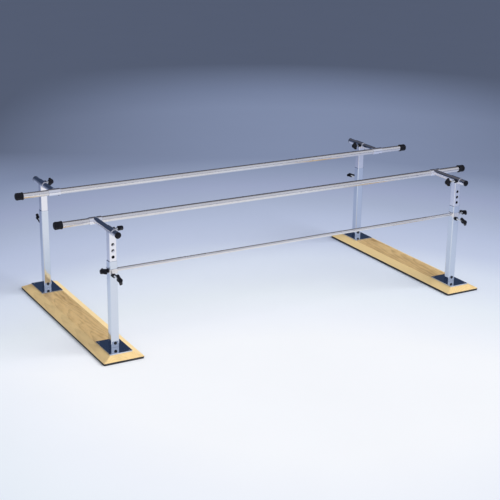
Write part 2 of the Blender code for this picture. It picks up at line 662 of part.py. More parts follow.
def main():
    clear_scene()
    base = add_empty("base", None)
    for side in SIDES_X:
        add_board(side, base)
    slides = {}
    for side_name, side_y in SIDES_Y.items():
        for end_name, side_x in SIDES_X.items():
            corner = f"{side_name}_{end_name}"
            x = side_x * POST_SPACING_X / 2
            y = side_y * POST_SPACING_Y / 2
            add_base_plate(corner, x, y, base)
            add_upright(corner, x, y, side_y, base)
            bolt_place = moved(x, y, FOOT_BOLT_Z) @ facing((0, 1, 0))
            add_piece(f"{corner}_foot_bolt", foot_bolt_shape(), BLACK_STEEL, base, bolt_place)
            outwards = (0, side_y, 0)
            face = moved(x, y + side_y * OUTER_TUBE / 2, HEIGHT_KNOB_Z)
            name = f"{corner}_height"
            turn = HEIGHT_KNOB_TURNS[corner]
            add_knob(name, outwards, turn, WING_REACH, HEIGHT_KNOB_STANDOFF, base, face)
            add_stud(name, outwards, OUTER_TUBE_WALL, HEIGHT_KNOB_STANDOFF, base, face)
            slides[corner] = add_post(corner, x, y, side_x, side_y, base)
            inwards = (-side_x, 0, 0)
            knob_y = -side_x * WIDTH_KNOB_OFFSET
            face = moved(-side_x * SLEEVE_RADIUS, knob_y, ARM_HEIGHT - POST_BOTTOM)
            name = f"{corner}_width"
            turn = WIDTH_KNOB_TURNS[corner]
            standoff = WIDTH_KNOB_STANDOFFS[corner]
            add_knob(name, inwards, turn, WIDTH_WING_REACH, standoff, slides[corner], face)
            add_stud(name, inwards, SLEEVE_WALL, standoff, slides[corner], face)

    for side_name, side_y in SIDES_Y.items():
        rail_y = side_y * (POST_SPACING_Y / 2 - RAIL_INSETS[side_name])
        rail_set = add_empty(f"{side_name}_rail_slide", base)
        add_handrail(side_name, rail_y, rail_set)
        for end_name, side_x in SIDES_X.items():
            corner = f"{side_name}_{end_name}"
            add_arm(corner, side_x * POST_SPACING_X / 2, side_y, rail_y, rail_set)

    lower = add_lower_rail(base)
    for end_name, side_x in SIDES_X.items():
        outwards = (side_x, 0, 0)
        face = moved(side_x * (POST_SPACING_X / 2 + BAND_SIZE / 2), 0.0, 0.0)
        name = f"lower_rail_{end_name}"
        standoff = LOWER_KNOB_STANDOFFS[end_name]
        add_knob(name, outwards, LOWER_KNOB_TURN, WING_REACH, standoff, lower, face)
        add_stud(name, outwards, BAND_WALL, standoff, lower, face)


main()
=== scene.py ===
import math

import bmesh
import bpy
from bpy.props import FloatProperty, FloatVectorProperty, IntProperty, PointerProperty
from mathutils import Matrix, Vector


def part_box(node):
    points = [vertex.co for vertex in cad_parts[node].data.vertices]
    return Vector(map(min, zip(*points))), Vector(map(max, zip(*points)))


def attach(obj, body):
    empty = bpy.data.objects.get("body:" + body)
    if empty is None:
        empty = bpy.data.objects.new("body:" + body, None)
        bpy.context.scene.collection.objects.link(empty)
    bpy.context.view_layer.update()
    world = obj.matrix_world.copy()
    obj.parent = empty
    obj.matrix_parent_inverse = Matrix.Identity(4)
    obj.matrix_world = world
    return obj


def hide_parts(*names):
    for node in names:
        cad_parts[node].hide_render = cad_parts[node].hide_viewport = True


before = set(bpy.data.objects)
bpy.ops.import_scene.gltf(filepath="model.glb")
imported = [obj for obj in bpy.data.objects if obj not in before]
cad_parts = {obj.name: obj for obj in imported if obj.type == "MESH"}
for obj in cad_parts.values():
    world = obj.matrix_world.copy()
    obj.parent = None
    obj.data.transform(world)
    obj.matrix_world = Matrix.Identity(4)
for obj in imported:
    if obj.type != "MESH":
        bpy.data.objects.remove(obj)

bl_info = {
    "name": "Portable walking bars",
    "version": (1, 0, 0),
    "blender": (4, 5, 0),
    "location": "3D View > Sidebar > Walking bars",
    "description": "Dresses the CAD model of free-standing parallel walking bars and sets up its studio",
    "category": "Object",
}

SIDES = ("near", "far")
ENDS = ("left", "right")
CORNERS = tuple(f"{side}_{end}" for side in SIDES for end in ENDS)
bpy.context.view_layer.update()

# Room between pieces that slide or seat, in metres
GAP = 0.0003

# Lengths below TINY count as nothing, and cosines above UPRIGHT as one.
# Faces that meet at more than SQUARE degrees have a square edge
TINY = 1e-6
UPRIGHT = 0.99
SQUARE = 80


def span(node, axis):
    low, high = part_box(node)
    return high[axis] - low[axis]


def centre(node):
    low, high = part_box(node)
    return (low + high) / 2


def inwards_x(name):
    return 1 if "left" in name else -1


def outwards_y(name):
    return -1 if "near" in name else 1


def side_of(corner):
    return corner.split("_")[0]


# Sizes and colours that a user may change


def length(label, default, text):
    return FloatProperty(
        name=label, description=text, default=default, min=0.0, precision=5,
        subtype="DISTANCE", unit="LENGTH",
    )


def colour(label, default, text):
    return FloatVectorProperty(
        name=label, description=text, default=default, min=0.0, max=1.0, size=3, subtype="COLOR",
    )


def share(label, default, text):
    return FloatProperty(name=label, description=text, default=default, min=0.0, max=1.0, subtype="FACTOR")


def strength(label, default, text):
    return FloatProperty(name=label, description=text, default=default, min=0.0)


def angle(label, degrees, text):
    return FloatProperty(name=label, description=text, default=math.radians(degrees), subtype="ANGLE")


def knob_turn(label, degrees):
    return FloatProperty(name=label, default=degrees, description="Turn in degrees")


class WalkBarsTubes(bpy.types.PropertyGroup):
    outer: length("Outer tube", 0.0508, "Width across the uprights")
    inner: length("Inner tube", 0.04445, "Width across the posts")
    outer_wall: length("Outer wall", 0.00288, "Wall of the uprights")
    inner_wall: length("Inner wall", 0.0025, "Wall of the posts")
    corner: length("Corner", 0.006, "Outside corner radius of the uprights")
    inner_corner: length("Inner corner", 0.0028, "Outside corner radius of the posts")
    rim: length("Rim", 0.0005, "Broken edge round each tube's end")
    bead: length("Weld bead", 0.0014, "Radius of the weld beads")
    pitch: length("Hole pitch", 0.0381, "Distance between the height holes")
    hole: length("Hole radius", 0.0096, "Radius of the height holes")
    arm: length("Arm radius", 0.01905, "Radius of the sliding arms")
    arm_wall: length("Arm wall", 0.002, "Wall of the sliding arms")
    sleeve: length("Sleeve", 0.100, "Length of the sleeve on each post")
    sleeve_wall: length("Sleeve wall", 0.0028, "Wall of the sleeves")
    saddle: length("Saddle", 0.003, "How far below the sleeve's axis a post's side walls end")


class WalkBarsBoards(bpy.types.PropertyGroup):
    edge: length("Edge height", 0.004, "Height of the upright edge below the bevels")
    side_run: length("Side bevel", 0.056, "Width of the bevel along each long side")
    end_run: length("End bevel", 0.0445, "Width of the bevel at each end")
    corner: length("Corner", 0.006, "Radius of the board's corners in plan")
    softness: length("Softened edge", 0.0012, "Rounding of the sawn edges")
    light: colour("Light wood", (0.70, 0.480, 0.215), "Colour between the growth rings")
    dark: colour("Dark wood", (0.31, 0.180, 0.060), "Colour of the growth rings")
    # Paler bevel colour: partly paler cut wood, partly painted highlight where light falls on the bevels
    bevel: colour("Planed wood", (1.0, 0.745, 0.36), "Paler wood where the bevels are planed")
    # Painted shade: near black on the board's upright edge, standing in for that edge in shadow
    painted_edge_shade: colour("Edge paint", (0.022, 0.022, 0.028), "Black sealer on the board's upright edge")


class WalkBarsRails(bpy.types.PropertyGroup):
    wall: length("Rail wall", 0.002, "Wall of the handrails")
    radius: length("Rail radius", 0.01905, "Radius of the handrails")
    collar: length("Collar", 0.080, "Length of the collar round a handrail")
    collar_radius: length("Collar radius", 0.0230, "Outside radius of a collar")
    thin_radius: length("Lower rail radius", 0.0111, "Radius of the lower rail")
    band: length("Band", 0.0574, "Width across the band at each end of the lower rail")
    band_wall: length("Band wall", 0.003, "Wall of that band")
    segments: IntProperty(name="Round", description="Sides of a round tube", default=64, min=24, max=128)


class WalkBarsKnobs(bpy.types.PropertyGroup):
    hub_radius: length("Hub radius", 0.0145, "Radius of the knob's middle")
    hub_length: length("Hub length", 0.034, "Length of the knob's middle")
    reach: length("Wing reach", 0.036, "From the stud's axis to a wing's tip")
    width_reach: length("Short wing reach", 0.028, "The same for the knobs on the sleeves")
    tip_radius: length("Tip radius", 0.0085, "Rounding of a wing's tip in side view")
    tip_height: length("Tip height", 0.0090, "Height of the middle of a wing's tip")
    root_radius: length("Root radius", 0.0105, "Half height of a wing where it leaves the hub")
    root_height: length("Root height", 0.0225, "Height of the middle of a wing's root")
    thickness: length("Wing thickness", 0.019, "Thickness of a wing")
    socket: length("Socket", 0.012, "Depth of the stud in the knob")
    stud_radius: length("Stud radius", 0.005, "Radius of the threaded stud")
    thread: length("Thread", 0.0015, "Pitch of the stud's thread")
    bush_radius: length("Bush radius", 0.0125, "Radius of the threaded bush")
    bush_length: length("Bush length", 0.012, "Length of the threaded bush")
    bush_root: length("Bush root", 0.005, "How deep a bush is sunk in a round sleeve")
    grain: length("Modelling grain", 0.0009, "Fineness of the moulded shape")
    near_left_height: knob_turn("Near left height", -70)
    near_right_height: knob_turn("Near right height", -52)
    far_left_height: knob_turn("Far left height", 69)
    far_right_height: knob_turn("Far right height", 9)
    near_left_width: knob_turn("Near left width", 69)
    near_right_width: knob_turn("Near right width", 15)
    far_left_width: knob_turn("Far left width", 15)
    far_right_width: knob_turn("Far right width", 17)
    lower_rail_left: knob_turn("Lower rail left", 90)
    lower_rail_right: knob_turn("Lower rail right", 90)


class WalkBarsFinish(bpy.types.PropertyGroup):
    # Painted shade: the uprights and base plates get a darker, bluer copy of the posts' plating, for the
    # darker reflections on their faces
    chrome: colour("Chrome", (0.655, 0.70, 0.78), "Colour of the plated uprights and base plates")
    # The posts' copy of the same plating is lighter, for the brighter reflections on their faces
    post_chrome: colour("Post chrome", (0.83, 0.82, 0.86), "Colour of the plated posts and arms")
    chrome_polish: share("Chrome roughness", 0.06, "Roughness of the plating")
    steel: colour("Handrail steel", (0.80, 0.775, 0.775), "Colour of the rails")
    steel_polish: share("Steel roughness", 0.20, "Roughness of the handrails")
    rubber: colour("Cap rubber", (0.004, 0.004, 0.007), "Colour of the rail caps")
    plastic: colour("Knob plastic", (0.003, 0.003, 0.006), "Colour of the knobs, bushes and plugs")
    bolt: colour("Black steel", (0.020, 0.021, 0.025), "Colour of the foot bolts and set screws")
    bright: colour("Bright steel", (0.72, 0.73, 0.75), "Colour of the studs and plate screws")
    mat: colour("Mat rubber", (0.030, 0.031, 0.036), "Colour of the floor mats")


class WalkBarsStage(bpy.types.PropertyGroup):
    # Painted light: the three floor colours paint a lit patch in front of the bars and the falloff of that
    # light behind it and far away
    floor_near: colour("Near floor", (0.905, 0.92, 0.955), "Floor colour in front of the bars")
    floor_mid: colour("Middle floor", (0.46, 0.52, 0.69), "Floor colour behind the bars")
    floor_far: colour("Far floor", (0.175, 0.215, 0.33), "Floor colour far away")
    backdrop: colour("Backdrop", (0.035, 0.053, 0.100), "Dark cloth behind the bars, seen in the chrome")
    upper_cloth: colour("Upper cloth", (0.130, 0.125, 0.135), "Grey cloth high behind, seen in the rails")
    soft_box: colour("Soft box", (0.62, 0.66, 0.76), "Pale cloth above and in front, seen in the chrome")
    ambient: strength("Ambient", 0.54, "Strength of the even light")
    key_strength: strength("Key lamp", 2.65, "Strength of the broad key lamp")
    key_height: angle("Key height", 36.0, "How high the key lamp stands")
    key_turn: angle("Key turn", 48.0, "Key lamp's turn from the right end to the front")
    key_spread: angle("Key spread", 50.0, "Width of the key lamp as seen from the bars")
    camera: FloatVectorProperty(
        name="Camera", description="Where the camera stands", default=(-3.79, -6.653, 2.852),
        subtype="TRANSLATION", unit="LENGTH",
    )
    yaw: angle("Yaw", 29.596, "Turn of the view to the right")
    pitch: angle("Pitch", 18.523, "Downward tilt of the view")
    roll: angle("Roll", 0.824, "Lean of the camera")
    lens: FloatProperty(name="Lens", description="Focal length in millimetres", default=84.87, min=1.0)


class WalkBarsSettings(bpy.types.PropertyGroup):
    tubes: PointerProperty(type=WalkBarsTubes, name="Tubes", description="Sizes of the tubes and arms")
    boards: PointerProperty(type=WalkBarsBoards, name="Boards", description="Sizes and colours of boards")
    rails: PointerProperty(type=WalkBarsRails, name="Rails", description="Sizes of the rails")
    knobs: PointerProperty(type=WalkBarsKnobs, name="Knobs", description="Sizes of the clamp knobs")
    finish: PointerProperty(type=WalkBarsFinish, name="Finish", description="Colours of the finishes")
    stage: PointerProperty(type=WalkBarsStage, name="Stage", description="Floor, lamps and camera")


# Shapes


def facing(direction):
    """Rotation that turns +Z to the given direction."""
    return Vector((0.0, 0.0, 1.0)).rotation_difference(Vector(direction)).to_matrix().to_4x4()


def moved(x, y, z):
    return Matrix.Translation((x, y, z))


def outward(bm):
    """Join points that coincide and turn every face outwards."""
    bmesh.ops.remove_doubles(bm, verts=bm.verts[:], dist=TINY)
    bmesh.ops.recalc_face_normals(bm, faces=bm.faces[:])
    return bm


def placed(bm, place):
    bm.transform(place)
    return bm


def aimed(bm, start, direction):
    """Move a shape's origin to the start, with its Z along the direction."""
    return placed(bm, moved(*start) @ facing(direction))


def duplicate(bm, place):
    return placed(bm.copy(), place)


def gathered(shapes):
    """All the shapes in one mesh."""
    whole = bmesh.new()
    for shape in shapes:
        scratch = mesh_of(shape)
        whole.from_mesh(scratch)
        bpy.data.meshes.remove(scratch)
    return whole


def rounded(bm, edges, radius, segments):
    bmesh.ops.bevel(
        bm, geom=edges, offset=radius, offset_type="OFFSET", segments=segments, profile=0.5,
        affect="EDGES", clamp_overlap=True, material=-1,
    )
    return bm


def sharp_edges(bm, degrees):
    limit = math.radians(degrees)
    return [e for e in bm.edges if len(e.link_faces) == 2 and e.calc_face_angle() > limit]


def level_edges(bm, degrees):
    """Sharp edges that run level."""
    return [e for e in sharp_edges(bm, degrees) if abs(e.verts[0].co.z - e.verts[1].co.z) < TINY]


def upright_edges(bm):
    return [e for e in bm.edges if abs((e.verts[0].co - e.verts[1].co).normalized().z) > UPRIGHT]


def block(width, depth, height):
    """Box that stands on Z = 0."""
    bm = bmesh.new()
    bmesh.ops.create_cube(bm, size=1.0)
    bmesh.ops.scale(bm, vec=(width, depth, height), verts=bm.verts)
    bmesh.ops.translate(bm, vec=(0.0, 0.0, height / 2), verts=bm.verts)
    return bm


def square_tube(size, wall, corner, height, rim):
    """Square tube with rounded corners that stands on Z = 0."""
    bm = block(size, size, height)
    rounded(bm, upright_edges(bm), corner, segments=5)
    ends = [f for f in bm.faces if abs(f.normal.z) > UPRIGHT]
    bmesh.ops.inset_individual(bm, faces=ends, thickness=wall, depth=0.0)
    mouths = list({e for f in ends for e in f.edges})
    bmesh.ops.delete(bm, geom=ends, context="FACES_ONLY")
    bmesh.ops.bridge_loops(bm, edges=mouths)
    outward(bm)
    return rounded(bm, level_edges(bm, SQUARE), rim, segments=2)


def turned(profile, segments, closed=False):
    """Spin a profile of (radius, height) points about Z."""
    bm = bmesh.new()
    verts = [bm.verts.new((radius, 0.0, height)) for radius, height in profile]
    pairs = list(zip(verts, verts[1:])) + ([(verts[-1], verts[0])] if closed else [])
    edges = [bm.edges.new(pair) for pair in pairs]
    bmesh.ops.spin(
        bm, geom=verts + edges, cent=(0, 0, 0), axis=(0, 0, 1), dvec=(0, 0, 0),
        angle=math.tau, steps=segments, use_merge=True,
    )
    return outward(bm)


def round_tube(radius, wall, height, segments, rim=0.0004):
    bore = radius - wall
    profile = [
        (bore, rim), (bore + rim, 0.0), (radius - rim, 0.0), (radius, rim),
        (radius, height - rim), (radius - rim, height), (bore + rim, height), (bore, height - rim),
    ]
    return turned(profile, segments, closed=True)


def rod(radius, height, segments):
    bm = bmesh.new()
    bmesh.ops.create_cone(
        bm, cap_ends=True, segments=segments, radius1=radius, radius2=radius, depth=height,
    )
    bmesh.ops.translate(bm, vec=(0.0, 0.0, height / 2), verts=bm.verts)
    return bm


def arc(centre_radius, centre_height, radius, start, end, steps):
    """Points of a round corner in a profile."""
    points = []
    for i in range(steps + 1):
        way = math.radians(start + (end - start) * i / steps)
        points.append((centre_radius + radius * math.cos(way), centre_height + radius * math.sin(way)))
    return points


def linked(name, data):
    """A new object in the scene."""
    made = bpy.data.objects.new(name, data)
    bpy.context.scene.collection.objects.link(made)
    return made


def mesh_of(bm, name="scratch"):
    mesh = bpy.data.meshes.new(name)
    bm.to_mesh(mesh)
    bm.free()
    return mesh


def baked(holder):
    """The mesh that an object shows, as a bmesh; the object is removed."""
    graph = bpy.context.evaluated_depsgraph_get()
    mesh = bpy.data.meshes.new_from_object(holder.evaluated_get(graph))
    result = bmesh.new()
    result.from_mesh(mesh)
    bpy.data.meshes.remove(mesh)
    bpy.data.objects.remove(holder)
    return result


def carved(body, tool, operation="DIFFERENCE"):
    """Cut the tool from the body, or weld it on."""
    holder = linked("scratch", mesh_of(body))
    cutter = linked("scratch", mesh_of(tool))
    step = holder.modifiers.new("carve", "BOOLEAN")
    step.operation = operation
    step.solver = "EXACT"
    step.object = cutter
    result = baked(holder)
    bpy.data.objects.remove(cutter)
    return result


def weld_bead(path, radius, ripple=0.82):
    """Bead along a closed path, with every other point thinner."""
    line = bpy.data.curves.new("bead", "CURVE")
    line.dimensions = "3D"
    line.bevel_depth = radius
    line.bevel_resolution = 2
    run = line.splines.new("POLY")
    run.points.add(len(path) - 1)
    for i, point in enumerate(path):
        run.points[i].co = (*point, 1.0)
        run.points[i].radius = 1.0 if i % 2 else ripple
    run.use_cyclic_u = True
    return outward(baked(linked("scratch", line)))


def square_path(size, corner, count):
    """Evenly spaced points round a square with rounded corners."""
    straight = size - 2 * corner
    side = straight + corner * math.pi / 2
    points = []
    for i in range(count):
        quarter, along = divmod(4 * side * i / count, side)
        if along < straight:
            point = Vector((size / 2, along - straight / 2, 0.0))
        else:
            bend = (along - straight) / corner
            across = size / 2 - corner + corner * math.cos(bend)
            point = Vector((across, straight / 2 + corner * math.sin(bend), 0.0))
        points.append(Matrix.Rotation(quarter * math.pi / 2, 3, "Z") @ point)
    return points


def ring_path(radius, count):
    ways = [math.tau * i / count for i in range(count)]
    return [Vector((radius * math.cos(way), radius * math.sin(way), 0.0)) for way in ways]


def show(name, bm, look, body, node, crease=32):
    """Make a shown piece that rides on a body and stands for a CAD node."""
    mesh = mesh_of(bm, name)
    mesh.materials.append(look)
    mesh.shade_smooth()
    mesh.set_sharp_from_angle(angle=math.radians(crease))
    piece = linked(name, mesh)
    level = piece.modifiers.new("level_faces", "WEIGHTED_NORMAL")
    level.keep_sharp = True
    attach(piece, body)
    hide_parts(node)


# Materials


class Value:
    """A node's output that can be added, multiplied and compared like a number."""

    def __init__(self, nodes, socket):
        self.nodes = nodes
        self.socket = socket

    def math(self, operation, other=0.0):
        return self.nodes.outputs("Math", {0: self, 1: other}, operation=operation)["Value"]

    def clamped(self):
        self.socket.node.use_clamp = True
        return self

    def __add__(self, other):
        return self.math("ADD", other)

    def __sub__(self, other):
        return self.math("SUBTRACT", other)

    def __mul__(self, other):
        return self.math("MULTIPLY", other)

    def __truediv__(self, other):
        return self.math("DIVIDE", other)

    def __pow__(self, other):
        return self.math("POWER", other)

    def __lt__(self, other):
        return self.math("LESS_THAN", other)

    def __gt__(self, other):
        return self.math("GREATER_THAN", other)


class Nodes:
    """Shorthand for adding nodes to a tree."""

    def __init__(self, tree):
        self.tree = tree

    def add(self, kind, inputs=None, **settings):
        made = self.tree.nodes.new("ShaderNode" + kind)
        for key, value in settings.items():
            setattr(made, key, value)
        for key, value in (inputs or {}).items():
            self.feed(made.inputs[key], value)
        return made

    def outputs(self, kind, inputs=None, **settings):
        """Values of a new node, by name."""
        made = self.add(kind, inputs, **settings)
        return {socket.name: Value(self, socket) for socket in made.outputs}

    def feed(self, socket, value):
        if isinstance(value, Value):
            self.tree.links.new(value.socket, socket)
        else:
            socket.default_value = value

    def place(self):
        return self.outputs("TexCoord")["Object"]

    def normal(self, kind="Normal"):
        return self.parts(self.outputs("NewGeometry")[kind])

    def parts(self, vector):
        return self.outputs("SeparateXYZ", {"Vector": vector})

    def summed(self, first, second):
        return self.outputs("VectorMath", {0: first, 1: second}, operation="ADD")["Vector"]

    def scaled(self, vector, scale, turn=(0.0, 0.0, 0.0)):
        return self.outputs("Mapping", {"Vector": vector, "Scale": scale, "Rotation": turn})["Vector"]

    def noise(self, vector, scale, detail=2.0, roughness=0.5):
        inputs = {"Vector": vector, "Scale": scale, "Detail": detail, "Roughness": roughness}
        made = self.add("TexNoise", inputs)
        return Value(self, made.outputs["Fac"])

    def spread(self, value, low, high, to_low=0.0, to_high=1.0):
        inputs = {"Value": value, "From Min": low, "From Max": high, "To Min": to_low, "To Max": to_high}
        return Value(self, self.add("MapRange", inputs).outputs["Result"])

    def mix(self, factor, first, second):
        made = self.add("Mix", {}, data_type="RGBA")
        self.feed(made.inputs["Factor"], factor)
        self.feed(made.inputs["A"], first)
        self.feed(made.inputs["B"], second)
        return Value(self, made.outputs["Result"])

    def ramp(self, factor, stops):
        made = self.add("ValToRGB", {"Fac": factor})
        elements = made.color_ramp.elements
        while len(elements) < len(stops):
            elements.new(0.5)
        for element, (place, shade) in zip(elements, stops):
            element.position = place
            element.color = solid(shade)
        return Value(self, made.outputs["Color"])

    def effect(self, fetch, **inputs):
        """Values of a shared effect group."""
        return self.outputs("Group", inputs, node_tree=fetch())

    def surface(self, inputs, height=None, depth=0.0):
        """Feed the material's shader, and its bump where there is a height."""
        shader = self.tree.nodes["Principled BSDF"]
        for key, value in inputs.items():
            self.feed(shader.inputs[key], value)
        if height:
            relief = self.outputs("Bump", {"Height": height, "Strength": 1.0, "Distance": depth})
            self.feed(shader.inputs["Normal"], relief["Normal"])


def solid(shade):
    return (*shade, 1.0)


def dimmed(shade, factor):
    return [channel * factor for channel in shade]


def socket_kind(default):
    """Numbers are single values, three of them a vector and four a colour."""
    count = len(default) if isinstance(default, tuple) else 1
    return {1: "NodeSocketFloat", 3: "NodeSocketVector", 4: "NodeSocketColor"}[count]


def effect_group(name, inputs, outputs):
    """Make the function below it fill a node group once, and hand out that group from then on."""
    def wrap(fill):
        def fetch():
            if found := bpy.data.node_groups.get(name):
                return found
            group = bpy.data.node_groups.new(name, "ShaderNodeTree")
            for label, default in inputs.items():
                kind = socket_kind(default)
                socket = group.interface.new_socket(name=label, in_out="INPUT", socket_type=kind)
                socket.default_value = default
            for label, kind in outputs.items():
                group.interface.new_socket(name=label, in_out="OUTPUT", socket_type=kind)
            nodes = Nodes(group)
            source = group.nodes.new("NodeGroupInput")
            given = {label: Value(nodes, source.outputs[label]) for label in inputs}
            result = group.nodes.new("NodeGroupOutput").inputs
            for label, value in fill(nodes, given, nodes.place()).items():
                nodes.feed(result[label], value)
            return group
        return fetch
    return wrap


def material(name):
    """Make the function below it dress a material once, and hand out that material from then on.

    Braces in the name stand for the first thing that the function is given.
    """
    def wrap(dress):
        def fetch(*given):
            title = name.format(*given)
            if found := bpy.data.materials.get(title):
                return found
            made = bpy.data.materials.new(title)
            made.use_nodes = True
            dress(Nodes(made.node_tree), *given)
            return made
        return fetch
    return wrap


@effect_group("Fine scratches", {"Scale": 1.0, "Amount": 0.5}, {"Mask": "NodeSocketFloat"})
def fine_scratches(nodes, given, place):
    """Hairline scratches in three directions."""
    total = None
    for way in ((0.3, 0.1, 0.4), (1.2, 0.5, 2.1), (0.2, 1.3, 1.1)):
        lines = nodes.scaled(place, (900.0, 900.0, 14.0), turn=way)
        thin = nodes.spread(nodes.noise(lines, given["Scale"], 1.0), 0.66, 0.74)
        total = thin if total is None else total.math("MAXIMUM", thin)
    patch = nodes.spread(nodes.noise(place, 9.0), 0.42, 0.70)
    return {"Mask": total * patch * given["Amount"]}


@effect_group("Dust film", {"Amount": 0.3}, {"Mask": "NodeSocketFloat"})
def dust_film(nodes, given, place):
    """Soft dust and finger smears, stronger on faces that look up."""
    patches = nodes.spread(nodes.noise(place, 23.0, 5.0, 0.62), 0.40, 0.72)
    specks = nodes.spread(nodes.noise(place, 900.0, 1.0), 0.62, 0.72, 0.0, 0.5)
    upward = nodes.spread(nodes.normal()["Z"], 0.0, 1.0, 0.45, 1.0)
    return {"Mask": (patches + specks).clamped() * upward * given["Amount"]}


@effect_group(
    "Moulded grain",
    {"Scale": 1500.0, "Wear": 0.3},
    {"Height": "NodeSocketFloat", "Mask": "NodeSocketFloat"},
)
def moulded_grain(nodes, given, place):
    """Pebbled surface of moulded rubber and plastic, and where it is rubbed smooth."""
    inputs = {"Vector": place, "Scale": given["Scale"]}
    cells = nodes.outputs("TexVoronoi", inputs, feature="SMOOTH_F1")["Distance"]
    fine = nodes.noise(place, given["Scale"] * 2.3)
    rubbed = nodes.spread(nodes.noise(place, 60.0, 4.0, 0.6), 0.48, 0.70)
    return {"Height": cells * 0.7 + fine * 0.3, "Mask": rubbed * given["Wear"]}


@effect_group(
    "Wood grain",
    {"Shift": (0.0, 0.0, 0.0), "Light": (0.66, 0.455, 0.205, 1.0), "Dark": (0.33, 0.195, 0.068, 1.0)},
    {"Color": "NodeSocketColor", "Roughness": "NodeSocketFloat", "Height": "NodeSocketFloat"},
)
def wood_grain(nodes, given, place):
    """Solid wood: growth rings round a pith below the board, fibres, pores and slow colour change."""
    shifted = nodes.summed(place, given["Shift"])

    def streaks(across, along, detail=3.0, roughness=0.5):
        return nodes.noise(nodes.scaled(shifted, (across, along, across)), 1.0, detail, roughness)

    sway = (streaks(5.0, 1.3) - 0.5) * 0.10
    bend = nodes.outputs("CombineXYZ", {"X": sway, "Z": sway * 0.6})["Vector"]
    leaning = nodes.scaled(shifted, (1.0, 1.0, 1.0), turn=(0.035, 0.0, 0.012))
    trunk = nodes.parts(nodes.summed(leaning, bend))
    distance = (trunk["X"] ** 2.0 + trunk["Z"] ** 2.0).math("SQRT")
    ring = (distance * 105.0 + streaks(40.0, 3.0, 2.0) * 0.9).math("FRACT")
    band = ring ** 2.6 * nodes.spread(ring, 0.93, 1.0, 1.0, 0.0)
    fibre = streaks(620.0, 9.0, 3.0, 0.6)
    pores = nodes.spread(streaks(1500.0, 40.0, 0.0), 0.70, 0.78)
    shade = band * 0.56 + nodes.spread(fibre, 0.3, 0.7, -0.10, 0.16)
    shade += nodes.spread(streaks(11.0, 2.4, 3.0, 0.55), 0.30, 0.70, -0.20, 0.28)
    shade += nodes.spread(streaks(34.0, 10.0, 3.0, 0.6), 0.32, 0.68, -0.20, 0.24)
    shade = (shade + pores * 0.22).clamped()
    return {
        "Color": nodes.mix(shade, given["Light"], given["Dark"]),
        "Roughness": nodes.spread(fibre, 0.3, 0.7, 0.42, 0.58),
        "Height": fibre * 0.5 - pores * 0.7 - band * 0.25,
    }


def plated_metal(nodes, shade, polish, waviness, scratches, dust):
    """Mirror-like plating with faint waves, hairlines and dust."""
    marks = nodes.effect(fine_scratches, Amount=scratches)["Mask"]
    film = nodes.effect(dust_film, Amount=dust)["Mask"]
    tint = nodes.mix(film, solid(shade), solid(dimmed(shade, 0.86)))
    rough = marks * 0.22 + polish + film * 0.30
    height = nodes.noise(nodes.place(), 55.0) * waviness - marks * 0.1
    nodes.surface({"Base Color": tint, "Metallic": 1.0, "Roughness": rough}, height, 0.0006)


# Painted shade: a darker, bluer copy of the posts' plating, for the uprights and base plates
@material("polished_chrome")
def chrome(nodes, finish):
    plated_metal(nodes, finish.chrome, finish.chrome_polish, waviness=0.35, scratches=0.35, dust=0.20)


@material("post_chrome")
def post_chrome(nodes, finish):
    plated_metal(nodes, finish.post_chrome, finish.chrome_polish, waviness=0.35, scratches=0.60, dust=0.15)


@material("bright_steel")
def bright_steel(nodes, finish):
    plated_metal(nodes, finish.bright, 0.20, waviness=0.3, scratches=0.5, dust=0.25)


@material("handrail_steel")
def handrail_steel(nodes, finish):
    """Steel polished round the tube, with smears from hands."""
    place = nodes.place()
    rings = nodes.noise(nodes.scaled(place, (2600.0, 25.0, 25.0)), 1.0, 2.0, 0.6)
    slow = nodes.noise(nodes.scaled(place, (3.0, 12.0, 12.0)), 1.0, 4.0, 0.6)
    film = nodes.effect(dust_film, Amount=0.35)["Mask"]
    worn = [channel * part for channel, part in zip(finish.steel, (0.95, 0.93, 0.91))]
    tint = nodes.mix(nodes.spread(slow, 0.35, 0.65), solid(finish.steel), solid(worn))
    rough = nodes.spread(rings, 0.3, 0.7, -0.04, 0.06) + finish.steel_polish + film * 0.25
    nodes.surface({"Base Color": tint, "Metallic": 1.0, "Roughness": rough}, rings, 0.00003)


@material("board_wood_{}")
def board_wood(nodes, end, sizes):
    """Wood grain with bevels painted paler, partly as paler cut wood and partly as painted highlight, most
    of all on the inner ones, and the upright edge painted near black as painted shade.
    """
    x, y, z = {"left": (0.035, 0.21, 0.105), "right": (-0.030, 3.37, 0.120)}[end]
    shift = (x - centre(f"{end}_board").x, y, z)
    grain = nodes.effect(wood_grain, Shift=shift, Light=solid(sizes.light), Dark=solid(sizes.dark))
    film = nodes.effect(dust_film, Amount=0.25)["Mask"]
    dusty = nodes.mix(film * 0.35, grain["Color"], (0.62, 0.56, 0.46, 1.0))
    normal = nodes.normal("True Normal")
    # Painted highlight: the bevels are painted paler, partly as paler cut wood and partly as light on them;
    # the inner bevels, facing the middle, get the most
    inner = normal["X"] * inwards_x(end) > 0.2
    planed_and_highlit = (normal["Z"] < 0.97) * nodes.spread(inner, 0.0, 1.0, 0.50, 0.92)
    shade = nodes.mix(planed_and_highlit, dusty, solid(sizes.bevel))
    # Painted shade: upright faces painted near black, for the board's edge in shadow
    shade = nodes.mix(normal["Z"] < 0.40, shade, solid(sizes.painted_edge_shade))
    coat = {"Coat Weight": 0.15, "Coat Roughness": 0.35}
    nodes.surface({"Base Color": shade, "Roughness": grain["Roughness"], **coat}, grain["Height"], 0.0002)


